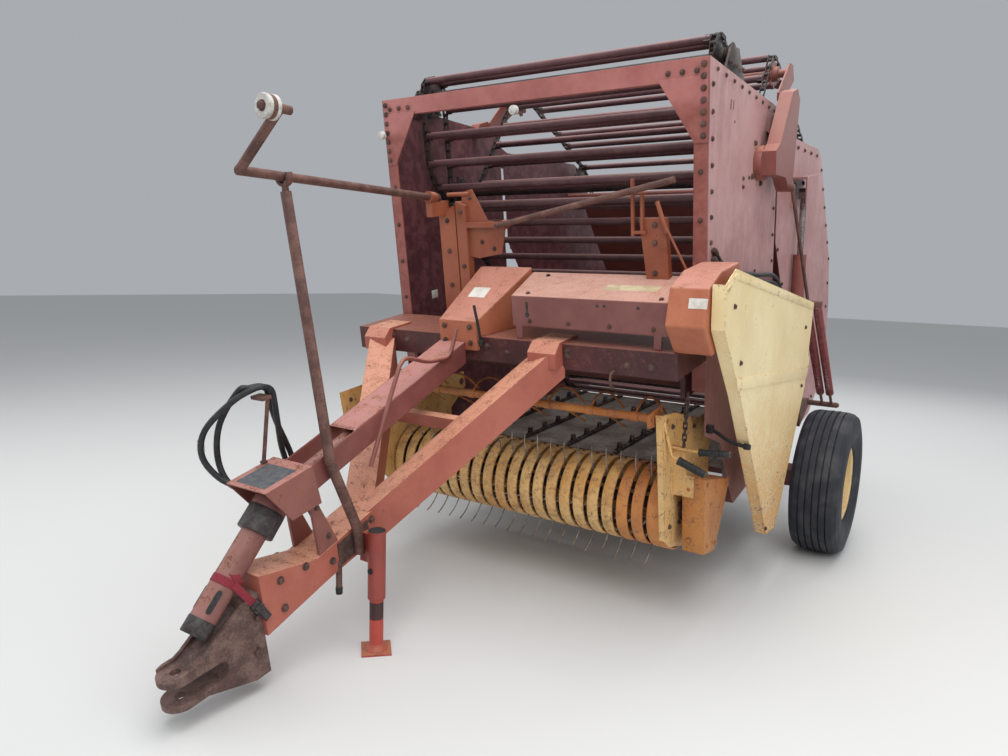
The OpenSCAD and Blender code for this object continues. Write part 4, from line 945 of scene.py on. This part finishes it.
floor_chain_steel = rusted_steel("floor_chain_steel", (62, 54, 54), (112, 100, 96), shine=0.4, rough=0.5)
floor_chains()


# Front frame and side sheets: bolts, the painted shade of each slit and the roller guides
def frame_trim():
    bm = bmesh.new()
    for side in (-1, 1):
        for y, a, b, count, r in ((-1.1052, (0.778, 2.4), (0.778, 2.15), 7, 0.009),
                                  (-1.1052, (0.752, 2.38), (0.64, 2.38), 3, 0.008),
                                  (-1.1002, (0.768, 2.02), (0.768, 1.48), 4, 0.008)):
            bolts_y(bm, y, [(side * u, v) for u, v in line_of(a, b, count)], r)
        for a, b, count, r in (((-1.07, 2.33), (-1.07, 1.56), 9, 0.008), ((-1.02, 2.385), (-0.2, 2.255), 9,
                0.007), ((-0.16, 2.19), (-0.16, 1.56), 6, 0.007)):
            bolts_x(bm, side * SHEET_FACE, line_of(a, b, count), r)
        bolts_x(bm, side * SHEET_FACE, around(0.1, (0.6, 2.1, 3.7, 5.2), (-0.45, 2.03)), 0.01)
        bolts_x(bm, side * SHEET_FACE, [(-0.79 + dy, 2.41 - 0.12 * dy) for dy in (-0.075, 0.0, 0.08)], 0.008)
        bolts_x(bm, side * SHEET_FACE, [(-0.665, 1.975), (-0.58, 1.975), (-0.665, 1.94)], 0.007)
    piece("frame_bolts", bm, bolt_steel)
    white = bmesh.new()
    for x, z in ((-0.041, 2.314), (-0.8015, 2.265)):
        turned(white, (x, -1.101, z), (x, -1.139, z), [(0, 0), (0.008, 0), (0.008, 0.006), (0.018, 0.008),
            (0.02, 0.012), (0.015, 0.017), (0.015, 0.023), (0.02, 0.028), (0.018, 0.032), (0.012, 0.034),
            (0, 0.036)])
    piece("twine_guides", white, white_roller)
    # Painted shade: thin black plates on the side sheets stand for the dark inside two slits and a round
    # hole.
    slit_shade = bmesh.new()
    for y, z in ((-0.825, 2.246), (-0.856, 2.248)):
        for lo, hi in ((0.8001, 0.8007), (-0.7952, -0.7946)):
            plate(slit_shade, [(y, z), (y + 0.007, z), (y + 0.014, z + 0.036), (y + 0.007, z + 0.036)], lo, hi)
    turned(slit_shade, (0.8001, -0.796, 2.201), (0.801, -0.796, 2.201), [(0, 0), (0.006, 0), (0.006, 0.0008),
        (0, 0.0008)], 14)
    piece("sheet_slit_shade", slit_shade, black_paint_and_hole_shade)
    mark = bmesh.new()
    box(mark, (-SHEET_INSIDE, -0.862, 1.425), (-0.7942, -0.812, 1.468), 0.0001)
    box(mark, (0.7942, -0.862, 1.425), (SHEET_INSIDE, -0.812, 1.468), 0.0001)
    piece("sheet_stickers", mark, label_white)


frame_trim()


# Covers over the driveline and the gearbox, with their latches and blank labels
def cover_top(y):
    return 1.573 + (y + 1.4) * 0.1735


def cover_label(bm, x0, x1, y0, y1, height):
    """A thin label on a sloping cover, whose height is a function of y."""
    shape = bmesh.new()
    corners = [(x, y, height(y) + 0.0006) for x, y in ((x0, y0), (x1, y0), (x1, y1), (x0, y1))]
    face = shape.faces.new([shape.verts.new(corner) for corner in corners])
    bmesh.ops.recalc_face_normals(shape, faces=[face])
    if face.normal.z < 0:
        face.normal_flip()
    bmesh.ops.subdivide_edges(shape, edges=shape.edges[:], cuts=3, use_grid_fill=True)
    bmesh.ops.solidify(shape, geom=shape.faces[:], thickness=0.0006)
    bmesh.ops.recalc_face_normals(shape, faces=shape.faces[:])
    add(bm, shape, Matrix())


def cover_trim():
    labels = bmesh.new()
    cover_label(labels, 0.44, 0.665, -1.292, -1.232, cover_top)
    piece("driveline_label", labels, label_yellow)
    bm = bmesh.new()
    bolts_y(bm, -1.4005, line_of((0.16, 1.47), (0.7, 1.47), 4), 0.007)
    corners = ((0.14, -1.37), (0.72, -1.37), (0.11, -1.15), (0.72, -1.15))
    bolts(bm, [(x, y, cover_top(y)) for x, y in corners], (0, -0.17, 1), 0.008)
    bolts_y(bm, -1.4452, [(-0.255, 1.435), (-0.12, 1.435), (-0.255, 1.37), (-0.12, 1.365)], 0.009)
    bolts_y(bm, -1.4203, [(-0.5, 1.345), (-0.6, 1.345), (0.345, 1.345), (0.6, 1.33), (0.7, 1.33),
        (0.05, 1.33), (-0.05, 1.35)], 0.011)
    wire(bm, [(0.545, -1.4203, 1.3), (0.545, -1.445, 1.296), (0.548, -1.462, 1.275), (0.548, -1.455, 1.245),
        (0.548, -1.435, 1.238)], 0.0055)
    piece("cover_bolts", bm, bolt_steel)
    # Painted shade: thin black plates on the cover's face stand for the dark inside a keyhole and three
    # round holes.
    hole_shade = bmesh.new()
    plate(hole_shade, [(0.144, 1.548), (0.154, 1.548), (0.154, 1.505), (0.16, 1.497), (0.154, 1.484),
        (0.144, 1.484), (0.138, 1.497), (0.144, 1.505)], -1.4009, -1.4001, across="y")
    for x, z in ((0.47, 1.548), (0.5, 1.548), (0.64, 1.548)):
        turned(hole_shade, (x, -1.4001, z), (x, -1.4008, z), [(0, 0), (0.006, 0), (0.006, 0.0007), (0, 0.0007)],
            14)
    piece("cover_keyhole_shade", hole_shade, black_paint_and_hole_shade)
    latch = bmesh.new()
    wire(latch, [(-0.085, -1.4465, 1.532), (-0.078, -1.449, 1.5), (-0.07, -1.448, 1.45), (-0.066, -1.446,
        1.4), (-0.064, -1.44, 1.372)], 0.0062)
    turned(latch, (-0.064, -1.444, 1.382), (-0.064, -1.444, 1.356), [(0, 0), (0.01, 0), (0.012, 0.004),
        (0.01, 0.026), (0, 0.026)], 14)
    piece("cover_latch", latch, black_rubber_and_hole_shade)
    shield_latch = bmesh.new()
    box(shield_latch, (0.8004, -1.096, 0.972), (0.829, -1.07, 1.006), 0.004)
    wire(shield_latch, [(0.82, -1.083, 0.989), (0.852, -1.093, 0.978), (0.905, -1.111, 0.959),
        (0.95, -1.115, 0.95), (0.976, -1.115, 0.948)], 0.0082)
    turned(shield_latch, (0.962, -1.115, 0.9485), (0.99, -1.115, 0.947), [(0, 0), (0.011, 0),
        (0.0128, 0.004), (0.0128, 0.024), (0.009, 0.028), (0, 0.028)], 16)
    piece("shield_latch", shield_latch, black_rubber_and_hole_shade)


cover_trim()


# Tongue: bolts and the bent rod
def tongue_trim():
    bm = bmesh.new()
    bolts_y(bm, -1.4205, [(x, 1.362) for x in (0.198, 0.236, 0.304, 0.342)], 0.01)
    bolts_y(bm, -1.4205, [(x, z) for z in (1.362, 1.317) for x in (-0.735, -0.585)], 0.01)
    piece("tongue_bolts", bm, bolt_steel)
    bent = bmesh.new()
    wire(bent, [(-0.15, -1.497, 1.434), (-0.148, -1.559, 1.339), (-0.144, -1.64, 1.336), (-0.14, -1.723,
        1.351), (-0.136, -1.835, 1.392), (-0.132, -1.88, 1.382), (-0.13, -1.912, 1.344), (-0.126, -2.01,
        1.2), (-0.12, -2.113, 1.048)], 0.0085, steps=5)
    piece("bent_rod", bent, red)


tongue_trim()


def wheels():
    for side, name, body in ((1, "left", "wheel_left"), (-1, "right", "wheel_right")):
        hub = bmesh.new()
        middle = Vector((side * HUB_X, 0, WHEEL_R))
        out = Vector((side, 0, 0))
        ring = around(0.09, [tau * (k + 0.5) / 6 for k in range(6)])
        bolts(hub, [middle - out * 0.0095 + Vector((0, *spot)) for spot in ring], out, 0.012)
        turned(hub, middle + out * 0.046, middle + out * 0.059, [(0, 0), (0.036, 0), (0.036, 0.003),
            (0.03, 0.009), (0.018, 0.012), (0, 0.013)])
        rod(hub, middle + out * 0.02 + Vector((0, 0, 0.17)), middle + out * 0.045 + Vector((0, 0, 0.163)),
            0.004, sides=10)
        piece("hub_nuts_" + name, hub, brown_steel, body)


wheels()


# Crank: the white roller on its handle, and the collar at the far end
def crank_trim():
    grip = Vector((-0.096, -2.332, 2.295))
    near, far = grip + Vector((0, -0.018, 0)), grip + Vector((0, -0.064, 0.006))
    white = bmesh.new()
    turned(white, near, far, [(0.0145, 0), (0.034, 0), (0.0375, 0.003), (0.0375, 0.012), (0.0355, 0.016),
        (0.0355, 0.03), (0.0375, 0.034), (0.0375, 0.043), (0.034, 0.0462), (0.0145, 0.0462)], 32)
    piece("crank_roller", white, white_roller, "crank")
    nut = bmesh.new()
    bolts(nut, [far + Vector((0, 0.001, 0))], (0, -1, 0.13), 0.013)
    turned(nut, (-0.456, -1.17, 1.964), (-0.4525, -1.1968, 1.9677), [(0.0163, 0), (0.022, 0), (0.023, 0.003),
        (0.023, 0.024), (0.0163, 0.026)], 24)
    piece("crank_nut", nut, bolt_steel, "crank")


# Hoses along the side and at the tongue, with their swaged fittings
def fitting(bm, a, b, r):
    """A crimped ferrule and a hexagon nut on a hose's end, from a towards b."""
    a, b = Vector(a), Vector(b)
    profile = [(0, 0), (1.02, 0), (1.22, 0.003), (1.22, 0.01), (1.12, 0.012), (1.22, 0.014), (1.22, 0.022),
        (1.12, 0.024), (1.22, 0.026), (1.22, 0.034), (0.9, 0.038), (0, 0.038)]
    turned(bm, a, b, [(r * wide, reach) for wide, reach in profile], 18)


def hoses():
    hose, metal = bmesh.new(), bmesh.new()
    for d in (0.0, 0.034):
        path = [(0.8106, -1.06, 1.69 + d), (0.8106, -0.955, 1.621 + d), (0.8106, -0.78, 1.561 + d),
            (0.8112, -0.45, 1.5 + d), (0.82, -0.14, 1.44 + d), (0.822, d, 1.3), (0.822, 0.06 + d, 1.12),
            (0.8106, 0.09 + d, 0.96 + d)]
        wire(hose, path, 0.0098, steps=7, ring=3)
        fitting(metal, path[0], path[1], 0.0096)
        fitting(metal, path[-1], path[-2], 0.0096)
    for x, y, z in ((0.8005, -0.78, 1.578), (0.8005, -0.45, 1.517), (0.8005, 0.045, 1.21)):
        box(metal, (x, y - 0.012, z - 0.042), (x + 0.0035, y + 0.012, z + 0.042), 0.001)
        bolts(metal, [(x + 0.0035, y, z)], (1, 0, 0), 0.008)
    piece("side_hose_runs", hose, hose_black, "frame", ["side_hoses"], angle=60)
    loops = bmesh.new()
    for k in (0, 1):
        d, e = 0.028 * k, -0.026 * k
        path = [(-0.28, -2.262 + d, 0.8337 + d / 5), (-0.302, -2.27 + d, 0.9), (-0.334, -2.29 + d, 1.000),
            (-0.336, -2.325 + d, 1.15), (-0.31 + e, -2.348 + d / 2, 1.27), (-0.292 + e, -2.362, 1.36),
            (-0.29 + e, -2.368, 1.397), (-0.29 + e, -2.392, 1.416), (-0.3 + e, -2.43, 1.419),
            (-0.345, -2.49 + d, 1.385 + d), (-0.41, -2.565 + 2 * d, 1.3), (-0.438, -2.575 + 2 * d, 1.2 - d),
            (-0.4, -2.54 + d, 1.11 - d), (-0.3316, -2.49 + d, 1.075 - 0.024 * k)]
        wire(loops, path, 0.0108, steps=6, ring=3)
        fitting(metal, path[-1], path[-2], 0.0105)
        fitting(metal, path[0], path[1], 0.0105)
    piece("tongue_hose_loops", loops, hose_black, "frame", ["tongue_hoses"], angle=60)
    piece("hose_fittings", metal, bolt_steel)
    tape = bmesh.new()
    turned(tape, (-0.4385, -2.5745, 1.222), (-0.433, -2.574, 1.262), [(0.0111, 0), (0.0118, 0.001),
        (0.0118, 0.039), (0.0111, 0.04)], 20)
    piece("hose_tape", tape, label_white)


# Front tube, its black sleeves, the strap round it and the plate on the hood
def tube_trim():
    low, high = Vector((-0.22, -2.85, 0.745)), Vector((-0.22, -2.54, 1.000))
    black = bmesh.new()
    turned(black, low - (high - low).normalized() * 0.0005, high, [(0.0386, 0), (0.0448, 0), (0.0462, 0.002),
        (0.0462, 0.052), (0.0448, 0.054), (0.0442, 0.054)], 36)
    turned(black, (-0.22, -2.4895, 1.0425), (-0.22, -2.5755, 0.9695), [(0.041, 0), (0.05, 0.002),
        (0.054, 0.012), (0.063, 0.03), (0.0636, 0.11), (0.061, 0.113), (0.0445, 0.113)], 36)
    piece("shaft_sleeves", black, black_paint_and_hole_shade)
    # Painted shade: thin black plates on both sides of the front tube stand for the dark inside its slot
    # holes.
    hole_shade = bmesh.new()
    side = Vector((1, 0, 0))
    axis = (high - low).normalized()
    across = axis.cross(side)
    for face in (1, -1):
        outward = (side * 0.8 * face + across * (0.6 if across.z > 0 else -0.6)).normalized()
        turn = Matrix((axis, outward.cross(axis), outward)).transposed().to_4x4()
        shape = bmesh.new()
        end = around(0.009, map(radians, range(-90, 91, 30)), (0.03, 0))
        plate(shape, end + [(-u, -v) for u, v in end], 0.0405, 0.0452, across="z")
        add(hole_shade, shape, Matrix.Translation(low + axis * 0.11) @ turn)
    piece("tube_slot_shade", hole_shade, black_rubber_and_hole_shade)
    strap = bmesh.new()
    start = low + axis * 0.165
    turned(strap, start, high, [(0.0442, 0), (0.0462, 0.001), (0.0465, 0.014), (0.0462, 0.027),
        (0.0442, 0.028)], 40)
    turned(strap, start + axis * 0.02, high + Vector((0, 0.02, -0.1)), [(0.0458, 0), (0.048, 0.001),
        (0.0482, 0.014), (0.048, 0.027), (0.0458, 0.028)], 40)
    piece("tie_strap", strap, strap_red)
    tail = bmesh.new()
    a, b = Vector((-0.1735, -2.712, 0.862)), Vector((-0.1435, -2.628, 0.7))
    way = (b - a).normalized()
    flat = Vector((1, 0, 0))
    frame_of = Matrix((flat.cross(way), flat, way)).transposed().to_4x4()
    shape = bmesh.new()
    box(shape, (-0.013, -0.0012, 0), (0.013, 0.0012, (b - a).length), 0.0006)
    add(tail, shape, Matrix.Translation(a) @ frame_of)
    piece("tie_strap_tail", tail, strap_red)
    buckle = bmesh.new()
    shape = bmesh.new()
    box(shape, (-0.017, -0.004, 0.1), (0.017, 0.0085, 0.15), 0.003)
    box(shape, (-0.013, 0.006, 0.11), (0.013, 0.018, 0.172), 0.003)
    turned(shape, (-0.019, 0.006, 0.126), (0.019, 0.006, 0.126), [(0, 0), (0.0075, 0), (0.0075, 0.038),
        (0, 0.038)], 16)
    add(buckle, shape, Matrix.Translation(a) @ frame_of)
    piece("strap_buckle", buckle, black_paint_and_hole_shade)
    marks = bmesh.new()
    cover_label(marks, -0.295, -0.15, -2.56, -2.425, lambda y: 1.132 + (y + 2.582) * 0.099)
    piece("hood_plate", marks, label_dark)
    cover_marks = bmesh.new()
    cover_label(cover_marks, -0.225, -0.135, -1.3, -1.24, lambda y: 1.47 + (y + 1.42) * 0.5566)
    outward = Vector((-0.935, 0.354))
    under, over = (Vector((-1.495 + (z - 1.508) * 0.3788, z)) for z in (1.572, 1.606))
    thin, thick = outward * 0.0002, outward * 0.0009
    plate(cover_marks, [under + thin, over + thin, over + thick, under + thick], 0.858, 0.925)
    piece("cover_stickers", cover_marks, label_white)
    metal = bmesh.new()
    rod(metal, (-0.15, -2.297, 0.742), (-0.15, -2.313, 0.64), 0.0115, sides=18)
    bolts_x(metal, -0.1448, [(-2.45, 0.8), (-2.56, 0.805), (-2.56, 0.7), (-2.12, 0.83), (-2.06, 0.85),
        (-2.33, 0.76)], 0.011, out=1)
    bolts_x(metal, -0.2952, [(-2.45, 0.8), (-2.56, 0.805), (-2.56, 0.7)], 0.011)
    bolts_x(metal, -0.1478, [(-2.365, 0.985), (-2.33, 0.86)], 0.009, out=1)
    bolts_x(metal, -0.1598, [(-2.66, 0.72), (-2.68, 0.6)], 0.012, out=1)
    plate(metal, [(-2.3, 0.722), (-2.14, 0.752), (-2.14, 0.838), (-2.3, 0.812)], -0.1449, -0.141, soft=0.001)
    piece("tongue_box_bolts", metal, bolt_steel)
    end = bmesh.new()
    turned(end, (-0.15, -2.3125, 0.643), (-0.15, -2.3165, 0.617), [(0, 0), (0.0125, 0), (0.0135, 0.004),
        (0.0125, 0.026), (0, 0.026)], 18)
    piece("hanging_pipe_end", end, black_rubber_and_hole_shade)


# Jack: the pin on its tube and the weld round its foot
def jack_trim():
    x, y = -0.058, AXLE_Y - 2.225
    collar = bmesh.new()
    turned(collar, (x, y - 0.0325, 0.318), (x, y - 0.04, 0.318), [(0, 0), (0.0115, 0), (0.0115, 0.005),
        (0.0085, 0.0065), (0, 0.0065)], 16)
    turned(collar, (x, y, 0.4652), (x, y, 0.469), [(0, 0), (0.0315, 0), (0.0315, 0.002), (0.028, 0.0038),
        (0, 0.0038)], 28)
    piece("jack_pin", collar, black_rubber_and_hole_shade, placed=False)
    foot = bmesh.new()
    turned(foot, (x, y, 0.0062), (x, y, 0.03), [(0.026, 0), (0.042, 0), (0.04, 0.004), (0.03, 0.014),
        (0.026, 0.024)], 28)
    piece("jack_foot_weld", foot, leg_red, "jack_leg", placed=False)


# Side shield: pressed band, bolts and the chain that lifts the pickup
def shield_trim():
    band = bmesh.new()
    plate(band, [(-1.283, 1.232), (-1.298, 1.283), (-0.075, 1.01), (-0.11, 0.96)], 0.9798, 0.9835,
        soft=0.0016)
    plate(band, [(-1.425, 1.64), (-1.324, 1.676), (-0.03, 1.322), (-0.045, 1.3), (-1.322, 1.652),
        (-1.424, 1.616)], 0.9798, 0.9825, soft=0.001)
    piece("shield_bands", band, shield_paint, "side_shield")
    heads = bmesh.new()
    bolts_x(heads, 0.9802, [(-1.34, 1.56), (-1.25, 1.33), (-0.18, 1.24), (-0.21, 0.95), (-0.8, 0.44)], 0.008)
    piece("shield_bolts", heads, bolt_steel, "side_shield")
    shape = bmesh.new()
    loop = [(0, u, v + (0.01 if v > 0 else -0.01)) for u, v in around(0.0075,
        map(radians, range(0, 360, 30)))]
    wire(shape, loop, 0.003, steps=1, ring=1, closed=True)
    link = pattern(shape)
    chain = bmesh.new()
    top, low = Vector((0.797, -1.3, 1.205)), Vector((0.782, -1.3, 0.986))
    count = 9
    for i in range(count):
        place = along(top.lerp(low, (i + 0.5) / count), low)
        repeat(chain, link, place @ Matrix.Rotation(0 if i % 2 else pi / 2, 4, "Z"))
    piece("lift_chain", chain, chain_steel, angle=60)


# Twine stands and tailgate fastenings
def rear_trim():
    bm = bmesh.new()
    for x, heights in ((-0.4235, (1.43, 1.56, 1.72, 1.86)), (-0.343, (1.44, 1.65, 1.9)),
            (0.604, (1.64, 1.76, 1.83))):
        bolts_y(bm, -1.1502, [(x, z) for z in heights])
    bolts_y(bm, -1.1312, [(-0.3, 1.96), (-0.245, 1.76), (-0.18, 1.73)], 0.008)
    piece("stand_bolts", bm, bolt_steel)
    gate = bmesh.new()
    for side in (-1, 1):
        for a, b, count in (((-0.02, 2.12), (0.76, 2.035), 6), ((0.9, 1.95), (1.26, 1.38), 6),
                            ((1.27, 1.22), (1.23, 0.76), 4), ((1.09, 0.56), (0.68, 0.47), 4),
                            ((0.52, 0.64), (-0.05, 1.6), 6)):
            bolts_x(gate, side * SHEET_FACE, line_of(a, b, count), 0.008)
        bolts_x(gate, side * 0.8083, [(y, z) for y in (0.215, 0.405) for z in (1.9, 1.83)], 0.01)
        turned(gate, (side * 0.8002, -0.06, 2.12), (side * 0.822, -0.06, 2.12), [(0, 0), (0.034, 0),
            (0.034, 0.005), (0.022, 0.008), (0.02, 0.021), (0, 0.022)])
    piece("tailgate_bolts", gate, bolt_steel, "tailgate")


crank_trim()
hoses()
tube_trim()
jack_trim()
shield_trim()
rear_trim()


# Light, floor and backdrop
def studio():
    floor_finish = Finish("studio_floor")
    floor_finish.plug(floor_finish.shader.inputs["Base Color"], linear(214, 214, 212))
    floor_finish.plug(floor_finish.shader.inputs["Roughness"], 0.9)
    bm = bmesh.new()
    bmesh.ops.create_grid(bm, x_segments=1, y_segments=1, size=30)
    mesh = bpy.data.meshes.new("floor")
    bm.to_mesh(mesh)
    bm.free()
    floor = bpy.data.objects.new("studio_ground", mesh)
    mesh.materials.append(floor_finish.material)
    bpy.context.scene.collection.objects.link(floor)
    floor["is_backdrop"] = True
    world = bpy.data.worlds.new("world")
    bpy.context.scene.world = world
    world.use_nodes = True
    background = world.node_tree.nodes["Background"]
    background.inputs["Color"].default_value = (0.86, 0.9, 0.96, 1)
    background.inputs["Strength"].default_value = 0.46
    for name, spot, energy, size in (
            ("key_light", (2.6, -4.6, 5.4), 150, 4.0), ("top_light", (0.4, -0.6, 6.4), 260, 5.0),
            ("side_light", (5.4, -1.6, 3.4), 60, 4.0), ("fill_light", (-4.6, -3.4, 3.6), 70, 4.0),
            ("rear_light", (0.5, 6.0, 5.0), 120, 5.0)):
        data = bpy.data.lights.new(name, "AREA")
        data.energy = energy
        data.size = size
        lamp = bpy.data.objects.new(name, data)
        lamp.location = spot
        lamp.rotation_euler = (Vector((0, 0, 1.0)) - Vector(spot)).to_track_quat("-Z", "Y").to_euler()
        bpy.context.scene.collection.objects.link(lamp)


studio()

low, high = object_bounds()
